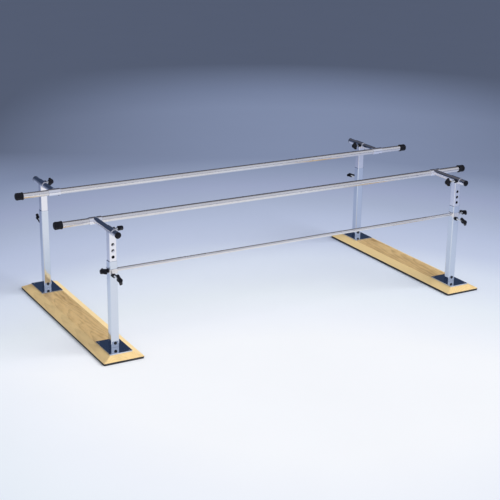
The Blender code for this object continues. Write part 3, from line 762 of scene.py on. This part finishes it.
def black_moulding(nodes, shade, roughness, scale, depth, wear=0.5, dust=0.25, height=None):
    """Moulded rubber or plastic: pebbled grain or another height, rubbed patches and dust."""
    grain = nodes.effect(moulded_grain, Scale=scale, Wear=wear)
    film = nodes.effect(dust_film, Amount=dust)["Mask"]
    rubbed = nodes.mix(grain["Mask"], solid(shade), solid(dimmed(shade, 2.0)))
    dusty = nodes.mix(film * 0.25, rubbed, (0.09, 0.09, 0.10, 1.0))
    rough = grain["Mask"] * -0.10 + roughness + film * 0.25
    inputs = {"Base Color": dusty, "Roughness": rough, "Specular IOR Level": 0.2}
    nodes.surface(inputs, height or grain["Height"], depth)


@material("moulded_knob")
def knob_plastic(nodes, finish):
    black_moulding(nodes, finish.plastic, roughness=0.36, scale=1400.0, depth=0.00005)


@material("moulded_plug")
def plug_plastic(nodes, finish):
    black_moulding(nodes, finish.plastic, roughness=0.40, scale=1100.0, depth=0.00005)


@material("moulded_cap")
def cap_rubber(nodes, finish):
    black_moulding(nodes, finish.rubber, roughness=0.52, scale=900.0, depth=0.00010, dust=0.35)


@material("ribbed_mat")
def mat_rubber(nodes, finish):
    """Black rubber sheet with fine ribs across the board, 5 mm apart."""
    ribs = (nodes.parts(nodes.place())["Y"] * 1256.0).math("SINE") * 0.5
    black_moulding(
        nodes, finish.mat, roughness=0.80, scale=700.0, depth=0.0004, wear=0.3, dust=0.8, height=ribs,
    )


@material("blackened_steel")
def black_steel(nodes, finish):
    """Blackened steel with bright rubbed spots."""
    place = nodes.place()
    marks = nodes.effect(fine_scratches, Amount=0.6)["Mask"]
    cloud = nodes.spread(nodes.noise(place, 160.0, 4.0, 0.6), 0.40, 0.75, 0.0, 0.5)
    shade = nodes.mix((cloud + marks).clamped(), solid(finish.bolt), (0.09, 0.09, 0.10, 1.0))
    inputs = {"Base Color": shade, "Metallic": 0.7, "Roughness": nodes.spread(cloud, 0.0, 0.5, 0.38, 0.52)}
    nodes.surface(inputs, nodes.noise(place, 900.0), 0.00004)


@material("studio_floor")
def floor_paint(nodes, stage):
    """Painted light: pale where light is painted in front of the bars, darker with the distance before and
    behind it as painted falloff, and painted shade towards the far corners.
    """
    near, mid, far = stage.floor_near, stage.floor_mid, stage.floor_far
    far_shade = dimmed(far, 0.5)
    painted_light_pool = Vector(stage.camera)
    painted_light_pool.z = 0.0
    painted_light_pool = Matrix.Rotation(stage.yaw, 3, "Z") @ painted_light_pool + Vector((0.4, 1.0, 0.0))
    place = nodes.place()
    parts = nodes.parts(nodes.scaled(place, (1.0, 1.0, 1.0), turn=(0.0, 0.0, stage.yaw)))
    across = (parts["X"] - painted_light_pool.x) * 1.8
    ahead = parts["Y"] - painted_light_pool.y
    along = ahead.math("MAXIMUM", ahead * -0.66 + 8.63)
    away = (across ** 2.0 + along ** 2.0).math("SQRT")
    reach = 16.0
    # Painted light: stops run from the lit patch in front of the bars to the painted falloff far away
    stops = [
        (0.0, near), (5.80, near), (6.20, (0.845, 0.875, 0.940)), (6.60, (0.790, 0.840, 0.905)),
        (7.00, (0.720, 0.775, 0.880)), (7.35, (0.665, 0.725, 0.850)), (7.80, (0.530, 0.590, 0.755)),
        (8.30, mid), (8.90, (0.375, 0.430, 0.580)), (9.40, (0.325, 0.370, 0.530)),
        (9.90, (0.270, 0.320, 0.460)), (10.45, (0.215, 0.260, 0.390)), (12.90, (0.210, 0.255, 0.385)),
        (13.90, far), (reach, far_shade),
    ]
    shade = nodes.ramp(away / reach, [(distance / reach, stop) for distance, stop in stops])
    # Painted shade towards the far corners of the floor
    aside = (parts["X"] - (painted_light_pool.x + 0.3)) ** 2.0
    painted_corner_shade = (aside * nodes.spread(ahead, 9.3, 10.5, 0.0, 0.075)).clamped()
    shade = nodes.mix(painted_corner_shade, shade, solid(far_shade))
    mottle = nodes.spread(nodes.noise(place, 1.3, 3.0), 0.3, 0.7, 0.985, 1.0)
    shade = nodes.mix(mottle, (0.0, 0.0, 0.0, 1.0), shade)
    nodes.surface({"Base Color": shade, "Roughness": 1.0, "Specular IOR Level": 0.0})


# Pieces


class WalkBarsPiece:
    """What the operators share."""

    bl_options = {"REGISTER", "UNDO"}

    def execute(self, context):
        self.make(context.scene.walking_bars)
        return {"FINISHED"}


class WALKBARS_OT_boards(WalkBarsPiece, bpy.types.Operator):
    """Make both floor boards, bevelled on all four sides, and finish the mats under them"""

    bl_idname = "walkbars.boards"
    bl_label = "Floor boards"

    def make(self, settings):
        for end in ENDS:
            node = f"{end}_board"
            look = board_wood(end, settings.boards)
            board = self.board(node, settings.boards)
            show(f"{end}_bevelled_board", board, look, "floor_frame", node, crease=20)
            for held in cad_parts[f"{end}_floor_mat"].material_slots:
                held.material = mat_rubber(settings.finish)

    def board(self, node, sizes):
        """Low block whose top face is drawn up and in, so that four bevels are left round it."""
        low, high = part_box(node)
        size = high - low
        bm = block(size.x, size.y, sizes.edge)
        rounded(bm, upright_edges(bm), sizes.corner, segments=5)
        top = [f for f in bm.faces if f.normal.z > UPRIGHT]
        grown = bmesh.ops.extrude_face_region(bm, geom=top)["geom"]
        raised = [item for item in grown if isinstance(item, bmesh.types.BMVert)]
        bmesh.ops.delete(bm, geom=[f for f in top if f.is_valid], context="FACES")
        bmesh.ops.translate(bm, vec=(0.0, 0.0, size.z - sizes.edge), verts=raised)
        narrow = ((size.x - 2 * sizes.side_run) / size.x, (size.y - 2 * sizes.end_run) / size.y, 1.0)
        bmesh.ops.scale(bm, vec=narrow, verts=raised)
        outward(bm)
        rounded(bm, level_edges(bm, degrees=12), sizes.softness, segments=3)
        return placed(bm, moved(centre(node).x, centre(node).y, low.z))


class WALKBARS_OT_base_plates(WalkBarsPiece, bpy.types.Operator):
    """Make the chromed base plates with their stubs and cross-recessed screws"""

    bl_idname = "walkbars.base_plates"
    bl_label = "Base plates"

    thickness = 0.006
    screw_inset = 0.016

    def make(self, settings):
        head = carved(self.screw_head(), self.cross())
        for corner in CORNERS:
            node = f"{corner}_base_plate"
            middle = centre(node)
            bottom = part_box(f"{corner}_upright")[0].z - GAP - self.thickness
            plate = placed(self.plate(node, settings.tubes), moved(middle.x, middle.y, bottom))
            show(f"{corner}_chromed_plate", plate, chrome(settings.finish), "floor_frame", node)
            screws = self.screws(node, head, bottom + self.thickness)
            look = bright_steel(settings.finish)
            show(f"{corner}_plate_screws", screws, look, "floor_frame", node)
        head.free()

    def plate(self, node, tubes):
        """Plate with a rounded upper rim, and the stub that goes up into the upright."""
        corner, rim, stub_height = 0.005, 0.0009, 0.070
        plate = block(span(node, 0), span(node, 1), self.thickness)
        rounded(plate, upright_edges(plate), corner, segments=5)
        upper = [e for e in sharp_edges(plate, SQUARE) if min(v.co.z for v in e.verts) > self.thickness / 2]
        rounded(plate, upper, rim, segments=3)
        stub = square_tube(tubes.inner, tubes.inner_wall, tubes.inner_corner, stub_height, tubes.rim)
        return gathered([plate, placed(stub, moved(0.0, 0.0, self.thickness))])

    def screws(self, node, head, top):
        """A screw near each corner of the plate, each turned differently."""
        middle = centre(node)
        reach_x = span(node, 0) / 2 - self.screw_inset
        reach_y = span(node, 1) / 2 - self.screw_inset
        heads = []
        for i, (way_x, way_y) in enumerate(((-1, -1), (-1, 1), (1, -1), (1, 1))):
            turn = Matrix.Rotation(math.radians(17 + 31 * i), 4, "Z")
            place = moved(middle.x + way_x * reach_x, middle.y + way_y * reach_y, top)
            heads.append(duplicate(head, place @ turn))
        return gathered(heads)

    def screw_head(self):
        dome = [(0.0, 0.0014), (0.0018, 0.00135), (0.0034, 0.0011), (0.0046, 0.0006), (0.0050, 0.0)]
        return turned(dome + [(0.0, 0.0)], segments=32)

    def cross(self):
        reach, width, height, floor = 0.0046, 0.0009, 0.002, 0.0006
        slot = placed(block(reach, width, height), moved(0, 0, floor))
        other = duplicate(slot, Matrix.Rotation(math.pi / 2, 4, "Z"))
        return carved(slot, other, "UNION")


class WALKBARS_OT_uprights(WalkBarsPiece, bpy.types.Operator):
    """Make the four square uprights that hold the posts"""

    bl_idname = "walkbars.uprights"
    bl_label = "Uprights"

    def make(self, settings):
        tubes = settings.tubes
        for corner in CORNERS:
            node = f"{corner}_upright"
            low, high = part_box(node)
            middle = centre(f"{corner}_base_plate")
            tube = square_tube(tubes.outer, tubes.outer_wall, tubes.corner, high.z - low.z, tubes.rim)
            placed(tube, moved(middle.x, middle.y, low.z))
            show(f"{corner}_outer_tube", tube, chrome(settings.finish), "floor_frame", node)


class WALKBARS_OT_posts(WalkBarsPiece, bpy.types.Operator):
    """Make the telescoping posts: pierced inner tubes with welded sleeves"""

    bl_idname = "walkbars.posts"
    bl_label = "Posts"

    overlap = 0.0006
    cut_length = 0.1
    drill_start = 0.001
    holes_each_way = 5
    sides = 96

    def make(self, settings):
        tubes = settings.tubes
        radius = tubes.arm + GAP + tubes.sleeve_wall
        for corner in CORNERS:
            node = f"{corner}_post"
            low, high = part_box(node)
            middle = centre(f"{corner}_base_plate")
            axis_z = high.z - radius
            knob_z = centre(f"{corner}_height_stud").z
            inner = self.inner(tubes, radius, axis_z - low.z, knob_z - low.z, outwards_y(corner))
            placed(inner, moved(0.0, 0.0, low.z))
            sleeve = round_tube(radius, tubes.sleeve_wall, tubes.sleeve, self.sides, tubes.rim)
            aimed(sleeve, (0.0, -tubes.sleeve / 2, axis_z), (0, 1, 0))
            whole = gathered([inner, sleeve, self.bead(tubes, radius, axis_z)])
            placed(whole, moved(middle.x, middle.y, 0.0))
            show(f"{corner}_pierced_post", whole, post_chrome(settings.finish), node, node)

    def inner(self, tubes, radius, axis, knob, out):
        """Square tube coped to the sleeve above it, with height holes in its outer face."""
        top = axis - tubes.saddle
        tube = square_tube(tubes.inner, tubes.inner_wall, tubes.inner_corner, top, tubes.rim)
        cope = rod(radius - self.overlap, self.cut_length, self.sides)
        tube = carved(tube, aimed(cope, (0.0, -self.cut_length / 2, axis), (0, 1, 0)))
        drills = []
        for step in range(-self.holes_each_way, self.holes_each_way + 1):
            start = (0.0, out * (tubes.inner / 2 + self.drill_start), knob + step * tubes.pitch)
            drills.append(aimed(self.drill(tubes), start, (0, -out, 0)))
        return carved(tube, gathered(drills))

    def bead(self, tubes, radius, axis_z):
        """Weld where the tube meets the sleeve."""
        path = []
        for point in square_path(tubes.inner - self.overlap, tubes.inner_corner, count=108):
            drop = math.sqrt(max(radius ** 2 - point.x ** 2, tubes.saddle ** 2))
            path.append(Vector((point.x, point.y, axis_z - drop)))
        return weld_bead(path, tubes.bead)

    def drill(self, tubes):
        """Cutter with a flared mouth, which starts a little outside the face."""
        radius, depth = tubes.hole, tubes.inner / 2
        profile = [(0.0, 0.0), (radius + 0.0015, 0.0), (radius + 0.0005, self.drill_start), (radius, 0.0015)]
        return turned(profile + [(radius, depth), (0.0, depth)], segments=32)


class WALKBARS_OT_arms(WalkBarsPiece, bpy.types.Operator):
    """Make the sliding arms with their welded collars, end plugs and set screws"""

    bl_idname = "walkbars.arms"
    bl_label = "Sliding arms"

    def make(self, settings):
        for corner in CORNERS:
            arm = self.arm(corner, settings.tubes, settings.rails)
            node = f"{corner}_arm"
            body = f"{side_of(corner)}_rail_set"
            show(f"{corner}_collared_arm", arm, post_chrome(settings.finish), body, node)
            plug = self.plug(corner, settings.tubes)
            look = plug_plastic(settings.finish)
            show(f"{corner}_domed_plug", plug, look, body, f"{corner}_arm_plug")
            screw = self.set_screw(f"{corner}_set_screw")
            look = black_steel(settings.finish)
            show(f"{corner}_socket_screw", screw, look, body, f"{corner}_set_screw")

    def arm(self, corner, tubes, rails):
        """Round tube coped to the collar that it is welded to."""
        low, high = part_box(f"{corner}_arm")
        out = outwards_y(corner)
        rail = centre(f"{side_of(corner)}_handrail")
        reach = max(abs(high.y - rail.y), abs(low.y - rail.y))
        rise = centre(f"{corner}_arm_plug").z - rail.z
        radius = rails.collar_radius
        arm = round_tube(tubes.arm, tubes.arm_wall, reach, rails.segments, tubes.rim)
        aimed(arm, (0.0, 0.0, rise), (0, out, 0))
        overlap, cut_length, collar_rim = 0.0008, 0.1, 0.0007
        cope = rod(radius - overlap, cut_length, segments=64)
        arm = carved(arm, aimed(cope, (-cut_length / 2, 0, 0), (1, 0, 0)))
        wall = radius - (rails.radius + GAP)
        collar = round_tube(radius, wall, rails.collar, rails.segments, collar_rim)
        aimed(collar, (-rails.collar / 2, 0, 0), (1, 0, 0))
        path = []
        for point in ring_path(tubes.arm, count=80):
            height = point.y + rise
            back = math.sqrt(max(radius ** 2 - height ** 2, 0.0))
            path.append(Vector((point.x, out * back, height)))
        whole = gathered([arm, collar, weld_bead(path, tubes.bead)])
        return placed(whole, moved(centre(f"{corner}_arm").x, rail.y, rail.z))

    def plug(self, corner, tubes):
        """Domed plug over the end of the arm."""
        node = f"{corner}_arm_plug"
        low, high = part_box(node)
        out = outwards_y(corner)
        rim = span(node, 0) / 2
        spigot = tubes.arm - tubes.arm_wall - GAP
        height, edge, depth, steps = 0.008, 0.0022, 0.016, 12
        profile = [(0.0, -depth), (spigot - 0.0008, -depth), (spigot, -0.015), (spigot, 0.0)]
        profile += [(rim - 0.0004, 0.0), (rim, 0.0005)]
        for i in range(steps + 1):
            way = math.pi / 2 * i / steps
            profile.append((rim * math.cos(way), edge + (height - edge) * math.sin(way)))
        outer_face = high.y if out > 0 else low.y
        start = (centre(node).x, outer_face - out * height, centre(node).z)
        return aimed(turned(profile, segments=64), start, (0, out, 0))

    def set_screw(self, node):
        """Socket screw under the collar."""
        head_radius, thickness, rim = 0.0045, 0.0025, 0.0004
        shank_radius, socket_radius, socket_floor = 0.003, 0.0026, 0.0011
        middle = centre(node)
        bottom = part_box(node)[0].z
        size = span(node, 2)
        head = rod(head_radius, thickness, segments=32)
        rounded(head, sharp_edges(head, SQUARE), rim, segments=2)
        head = carved(head, placed(rod(socket_radius, thickness, segments=6), moved(0, 0, socket_floor)))
        shank = placed(rod(shank_radius, size - thickness, segments=24), moved(0, 0, thickness - size))
        return aimed(gathered([head, shank]), (middle.x, middle.y, bottom + thickness), (0, 0, -1))


class WALKBARS_OT_handrails(WalkBarsPiece, bpy.types.Operator):
    """Make the two handrails and their four rubber end caps"""

    bl_idname = "walkbars.handrails"
    bl_label = "Handrails"

    def make(self, settings):
        rails = settings.rails
        for side in SIDES:
            node = f"{side}_handrail"
            body = f"{side}_rail_set"
            start = centre(node)
            start.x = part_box(node)[0].x
            tube = round_tube(rails.radius, rails.wall, span(node, 0), rails.segments)
            aimed(tube, start, (1, 0, 0))
            show(f"{side}_round_handrail", tube, handrail_steel(settings.finish), body, node)
            for end in ENDS:
                cap_node = f"{side}_{end}_rail_cap"
                low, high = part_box(cap_node)
                out = -inwards_x(end)
                start.x = low.x if out > 0 else high.x
                cap = self.cap(high.x - low.x, (high.z - low.z) / 2, rails)
                aimed(cap, start, (out, 0, 0))
                look = cap_rubber(settings.finish)
                show(f"{side}_{end}_rubber_cap", cap, look, body, cap_node, crease=40)

    def cap(self, height, widest, rails):
        """Cup with a lip at its mouth, a slight waist, two grooves and a domed end."""
        bore = rails.radius + GAP
        body = widest - 0.0012
        floor = height - 0.006
        lip, dome = 0.001, 0.0105
        profile = [(0.0, floor), (bore, floor), (bore, 0.0008), (bore + 0.0008, 0.0)]
        profile += arc(widest - lip, lip, lip, -90, 0, steps=3)
        profile += arc(widest - lip, 0.0055, lip, 0, 80, steps=3)
        waist = ((0.0002, 0.0076), (0.0006, 0.012), (0.0009, 0.020), (0.0007, 0.027))
        profile += [(body - depth, along) for depth, along in waist]
        groove = ((0.0005, 0.0), (0.0013, 0.0004), (0.0013, 0.0009), (0.0004, 0.0013))
        for start in (0.0290, 0.0325):
            profile += [(body - depth, start + along) for depth, along in groove]
        profile += arc(body - dome, height - dome, dome, 0, 90, steps=10)
        return turned(profile + [(0.0, height)], segments=64)


class WALKBARS_OT_lower_rail(WalkBarsPiece, bpy.types.Operator):
    """Make the thin lower rail with a band round each near upright"""

    bl_idname = "walkbars.lower_rail"
    bl_label = "Lower rail"

    sunk = 0.0008
    wall = 0.0016

    def make(self, settings):
        rails = settings.rails
        node = "lower_rail"
        middle = centre(node)
        left = centre("near_left_base_plate").x
        right = centre("near_right_base_plate").x
        start = left + rails.band / 2 - self.sunk
        reach = right - left - rails.band + 2 * self.sunk
        tube = round_tube(rails.thin_radius, self.wall, reach, segments=48)
        shapes = [aimed(tube, (start, middle.y, middle.z), (1, 0, 0))]
        for x, toward in ((left, 1), (right, -1)):
            middle.x = x
            shapes += self.band(middle, toward, span(node, 2), settings)
        look = handrail_steel(settings.finish)
        show("lower_rail_with_bands", gathered(shapes), look, "lower_rail", node)

    def band(self, middle, toward, height, settings):
        """Square band round an upright, and the weld that holds the rail to it."""
        rails = settings.rails
        corner, rim, weld = settings.tubes.corner + 0.0033, 0.0007, 0.0012
        band = square_tube(rails.band, rails.band_wall, corner, height, rim)
        placed(band, moved(middle.x, middle.y, middle.z - height / 2))
        bead = weld_bead(ring_path(rails.thin_radius + 0.0002, count=48), weld)
        face = (middle.x + toward * rails.band / 2, middle.y, middle.z)
        return [band, aimed(bead, face, (toward, 0, 0))]


class WALKBARS_OT_clamps(WalkBarsPiece, bpy.types.Operator):
    """Make the ten clamps: black bush, threaded stud and two-winged knob"""

    bl_idname = "walkbars.clamps"
    bl_label = "Clamp knobs"

    def make(self, settings):
        knobs = settings.knobs
        head = self.knob(knobs, knobs.reach)
        short_head = self.knob(knobs, knobs.width_reach)
        bush = self.bush(knobs, 0.0)
        sunk_bush = self.bush(knobs, knobs.bush_root)
        for corner in CORNERS:
            upright, post = f"{corner}_upright", f"{corner}_post"
            out, inwards = (0, outwards_y(corner), 0), (inwards_x(corner), 0, 0)
            wall = settings.tubes.outer_wall
            self.clamp(f"{corner}_height", out, "floor_frame", upright, wall, head, bush, settings)
            wall = settings.tubes.sleeve_wall
            self.clamp(f"{corner}_width", inwards, post, post, wall, short_head, sunk_bush, settings)
        for end in ENDS:
            name, node = f"lower_rail_{end}", "lower_rail"
            wall = settings.rails.band_wall
            self.clamp(name, (-inwards_x(end), 0, 0), node, node, wall, head, bush, settings)
        for shape in (head, short_head, bush, sunk_bush):
            shape.free()

    def clamp(self, name, direction, carrier, node, wall, head, bush, settings):
        """Knob and stud ride on the clamp's own body, the bush on the tube that carries it."""
        knobs, finish = settings.knobs, settings.finish
        low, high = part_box(f"{name}_stud")
        axis = 0 if direction[0] else 1
        tip = low[axis] if direction[axis] > 0 else high[axis]
        face = centre(f"{name}_stud")
        face[axis] = tip + direction[axis] * wall
        base = moved(*face) @ facing(direction)
        turn = Matrix.Rotation(math.radians(getattr(knobs, name)), 4, "Z")
        body = f"{name}_clamp"
        reach = high[axis] - low[axis]
        standoff = reach - wall - knobs.socket + GAP
        knob = duplicate(head, base @ turn @ moved(0, 0, standoff))
        plastic = knob_plastic(finish)
        show(f"{name}_winged_knob", knob, plastic, body, f"{name}_knob", crease=50)
        stud = placed(self.stud(knobs, reach), base @ moved(0, 0, -wall))
        steel = bright_steel(finish)
        show(f"{name}_threaded_stud", stud, steel, body, f"{name}_stud", crease=25)
        show(f"{name}_bush", duplicate(bush, base), plastic, carrier, node)

    def stud(self, knobs, reach):
        """Rod with rings in place of a thread."""
        crest, pitch = knobs.stud_radius, knobs.thread
        root = crest - 0.55 * pitch
        lead_in, run_out = 0.0004, 0.0012
        profile = [(0.0, 0.0), (root, 0.0)]
        ring = ((root, 0.0), (crest, 0.42), (crest, 0.54), (root, 0.96))
        for i in range(int((reach - run_out) / pitch)):
            start = lead_in + i * pitch
            profile += [(radius, start + part * pitch) for radius, part in ring]
        profile += [(root, reach), (0.0, reach)]
        return turned(profile, segments=28)

    def bush(self, knobs, root):
        """Round bush with a groove near the tube and a rounded outer rim."""
        radius, top, rim = knobs.bush_radius, knobs.bush_length, 0.0020
        bore = knobs.stud_radius + GAP
        groove = ((0.0, 0.0030), (0.0008, 0.0036), (0.0008, 0.0044), (0.0, 0.0050))
        profile = [(bore, -root), (radius, -root)]
        profile += [(radius - depth, along) for depth, along in groove]
        profile += arc(radius - rim, top - rim, rim, 0, 90, steps=5)
        profile += [(bore + 0.0008, top), (bore, top - 0.0008)]
        return turned(profile, segments=48, closed=True)

    def knob(self, knobs, reach):
        """Hub and two wings swept back to the tube, melted together as in a mould."""
        top, radius = knobs.hub_length, knobs.hub_radius
        dome, draft, smoothings = 0.007, 0.0004, 5
        bore = knobs.stud_radius + 0.0004
        profile = [(0.0, knobs.socket), (bore, knobs.socket), (bore, 0.0)]
        profile += [(radius - 0.0006, 0.0), (radius, 0.0010), (radius - draft, top * 0.55)]
        profile += arc(radius - draft - dome, top - dome, dome, 0, 90, steps=6)
        whole = turned(profile + [(0.0, top)], segments=40)
        for turn in (0, math.pi):
            wing = placed(self.wing(knobs, reach), Matrix.Rotation(turn, 4, "Z"))
            whole = carved(whole, wing, "UNION")
        holder = linked("scratch", mesh_of(whole))
        melt = holder.modifiers.new("melt", "REMESH")
        melt.mode = "VOXEL"
        melt.voxel_size = knobs.grain
        head = baked(holder)
        for _ in range(smoothings):
            bmesh.ops.smooth_vert(
                head, verts=head.verts[:], factor=0.5, use_axis_x=True, use_axis_y=True, use_axis_z=True,
            )
        return outward(head)

    def wing(self, knobs, reach):
        """Two short round bars, their hull, and softened edges."""
        bm = bmesh.new()
        lay = Matrix.Rotation(math.radians(90), 4, "X")
        softening = 0.0056
        root = (knobs.root_radius, knobs.hub_radius * 0.35, knobs.root_height)
        tip = (knobs.tip_radius, reach - knobs.tip_radius, knobs.tip_height)
        for radius, x, z in (root, tip):
            bmesh.ops.create_cone(
                bm, cap_ends=True, segments=32, radius1=radius, radius2=radius, depth=knobs.thickness,
                matrix=moved(x, 0.0, z) @ lay,
            )
        hull = bmesh.ops.convex_hull(bm, input=bm.verts[:], use_existing_faces=False)
        inside = hull["geom_interior"] + hull["geom_unused"]
        spare = [item for item in inside if isinstance(item, bmesh.types.BMVert)]
        bmesh.ops.delete(bm, geom=spare, context="VERTS")
        bmesh.ops.dissolve_limit(bm, angle_limit=0.01, verts=bm.verts[:], edges=bm.edges[:])
        outward(bm)
        return rounded(bm, sharp_edges(bm, degrees=60), softening, segments=6)


class WALKBARS_OT_foot_bolts(WalkBarsPiece, bpy.types.Operator):
    """Make the black button-headed bolts across the feet of the uprights"""

    bl_idname = "walkbars.foot_bolts"
    bl_label = "Foot bolts"

    shaft_radius = 0.004

    def make(self, settings):
        seat = settings.tubes.outer / 2 + GAP
        for corner in CORNERS:
            node = f"{corner}_foot_bolt"
            radius, thickness = span(node, 0) / 2, span(node, 1) / 2 - seat
            shapes = [placed(rod(self.shaft_radius, 2 * seat, segments=24), moved(0, 0, -seat))]
            for way in (1, -1):
                head = self.head(radius, thickness)
                shapes.append(placed(head, facing((0, 0, way)) @ moved(0, 0, seat)))
            bolt = aimed(gathered(shapes), centre(node), (0, 1, 0))
            look = black_steel(settings.finish)
            show(f"{corner}_button_bolt", bolt, look, "floor_frame", node)

    def head(self, radius, thickness):
        """Washer and button head with a hexagon socket."""
        button, edge, washer = radius * 0.86, 0.0003, 0.0014
        socket_radius, socket_depth = 0.0028, 0.0022
        profile = [(0.0, 0.0), (radius - edge, 0.0), (radius, edge)]
        profile += [(radius, washer - edge), (radius - edge, washer)]
        dome = ((1.0, washer), (0.97, 0.0024), (0.86, 0.0034), (0.66, 0.0043), (0.40, thickness - 0.0001))
        profile += [(button * part, height) for part, height in dome]
        head = turned(profile + [(0.0, thickness)], segments=40)
        socket = rod(socket_radius, thickness, segments=6)
        return carved(head, placed(socket, moved(0, 0, thickness - socket_depth)))


class WALKBARS_OT_studio(WalkBarsPiece, bpy.types.Operator):
    """Lay the floor, set the surroundings and the key lamp, and stand the camera"""

    bl_idname = "walkbars.studio"
    bl_label = "Studio"

    def make(self, settings):
        stage = settings.stage
        self.floor(stage)
        self.surroundings(stage)
        self.key_lamp(stage)
        self.camera(stage)

    def floor(self, stage):
        """Wide disc, half a millimetre below the mats."""
        bm = bmesh.new()
        bmesh.ops.create_circle(bm, cap_ends=True, segments=96, radius=60.0)
        mesh = mesh_of(bm, "studio_floor")
        mesh.materials.append(floor_paint(stage))
        floor = linked("studio_floor", mesh)
        floor.location.z = -0.0005

    def surroundings(self, stage):
        """Even light for rough surfaces, cloths and a soft box for the metal to reflect, and the floor's
        dark far colour behind.
        """
        world = bpy.data.worlds.new("studio")
        bpy.context.scene.world = world
        world.use_nodes = True
        world.node_tree.nodes.clear()
        nodes = Nodes(world.node_tree)

        def glow(shade, power=1.0):
            return nodes.outputs("Background", {"Color": shade, "Strength": power})["Background"]

        def either(factor, first, second):
            return nodes.outputs("MixShader", {0: factor, 1: first, 2: second})["Shader"]

        parts = nodes.parts(nodes.outputs("TexCoord")["Generated"])
        back = parts["X"] * math.sin(stage.yaw) + parts["Y"] * math.cos(stage.yaw)
        dark, dusk = stage.backdrop, stage.upper_cloth
        cloth = [(0.0, dimmed(stage.floor_far, 0.8)), (0.20, dark), (0.42, dark), (0.70, dusk), (1.0, dusk)]
        behind = nodes.ramp(parts["Z"], cloth)
        seen = glow(nodes.mix(nodes.spread(back, 0.05, 0.30), solid(stage.soft_box), behind))
        even = glow((0.97, 0.98, 1.0, 1.0), stage.ambient)
        far_shade = glow(solid(dimmed(stage.floor_far, 0.5)))
        rays = nodes.outputs("LightPath")
        direct = (rays["Is Camera Ray"] + rays["Is Glossy Ray"] + rays["Is Transmission Ray"]).clamped()
        shown = either(rays["Is Camera Ray"], either(direct, even, seen), far_shade)
        nodes.add("OutputWorld", {"Surface": shown})

    def key_lamp(self, stage):
        """Broad lamp that leaves no patch of its own on the metal."""
        data = bpy.data.lights.new("key_lamp", "SUN")
        data.energy = stage.key_strength
        data.angle = stage.key_spread
        lamp = linked("key_lamp", data)
        level = math.cos(stage.key_height)
        x, y = level * math.cos(stage.key_turn), -level * math.sin(stage.key_turn)
        place = Vector((x, y, math.sin(stage.key_height)))
        lamp.location = place * 8.0
        lamp.visible_glossy = False
        lamp.rotation_euler = (-place).to_track_quat("-Z", "Y").to_euler()

    def camera(self, stage):
        data = bpy.data.cameras.new("camera")
        data.lens = stage.lens
        data.sensor_width = 36.0
        data.clip_start = 0.1
        data.clip_end = 200.0
        yaw, pitch, roll = stage.yaw, stage.pitch, stage.roll
        flat = math.cos(pitch)
        forward = Vector((math.sin(yaw) * flat, math.cos(yaw) * flat, -math.sin(pitch)))
        level = Vector((math.cos(yaw), -math.sin(yaw), 0.0))
        upward = level.cross(forward)
        right = math.cos(roll) * level + math.sin(roll) * upward
        above = -math.sin(roll) * level + math.cos(roll) * upward
        turn = Matrix((right, above, -forward)).transposed().to_4x4()
        camera = linked("camera", data)
        camera.matrix_world = Matrix.Translation(stage.camera) @ turn
        bpy.context.scene.camera = camera
        bpy.context.scene.view_settings.view_transform = "Standard"


class WALKBARS_PT_pieces(bpy.types.Panel):
    """The pieces of the bars and their sizes"""

    bl_idname = "WALKBARS_PT_pieces"
    bl_label = "Walking bars"
    bl_space_type = "VIEW_3D"
    bl_region_type = "UI"
    bl_category = "Walking bars"

    def draw(self, context):
        settings = context.scene.walking_bars
        for step in OPERATORS:
            self.layout.operator(step.bl_idname)
        for label in settings.__annotations__:
            group = getattr(settings, label)
            box = self.layout.box()
            box.label(text=label.capitalize())
            for key in group.__annotations__:
                box.prop(group, key)


GROUPS = (
    WalkBarsTubes, WalkBarsBoards, WalkBarsRails, WalkBarsKnobs, WalkBarsFinish, WalkBarsStage,
    WalkBarsSettings,
)
OPERATORS = (
    WALKBARS_OT_boards, WALKBARS_OT_base_plates, WALKBARS_OT_uprights, WALKBARS_OT_posts, WALKBARS_OT_arms,
    WALKBARS_OT_handrails, WALKBARS_OT_lower_rail, WALKBARS_OT_clamps, WALKBARS_OT_foot_bolts,
    WALKBARS_OT_studio,
)
CLASSES = (*GROUPS, *OPERATORS, WALKBARS_PT_pieces)


def register():
    for each in CLASSES:
        bpy.utils.register_class(each)
    bpy.types.Scene.walking_bars = PointerProperty(type=WalkBarsSettings)


def unregister():
    del bpy.types.Scene.walking_bars
    for each in reversed(CLASSES):
        bpy.utils.unregister_class(each)


def main():
    register()
    bpy.ops.walkbars.boards()
    bpy.ops.walkbars.base_plates()
    bpy.ops.walkbars.uprights()
    bpy.ops.walkbars.posts()
    bpy.ops.walkbars.arms()
    bpy.ops.walkbars.handrails()
    bpy.ops.walkbars.lower_rail()
    bpy.ops.walkbars.clamps()
    bpy.ops.walkbars.foot_bolts()
    bpy.ops.walkbars.studio()


if __name__ == "__main__":
    main()
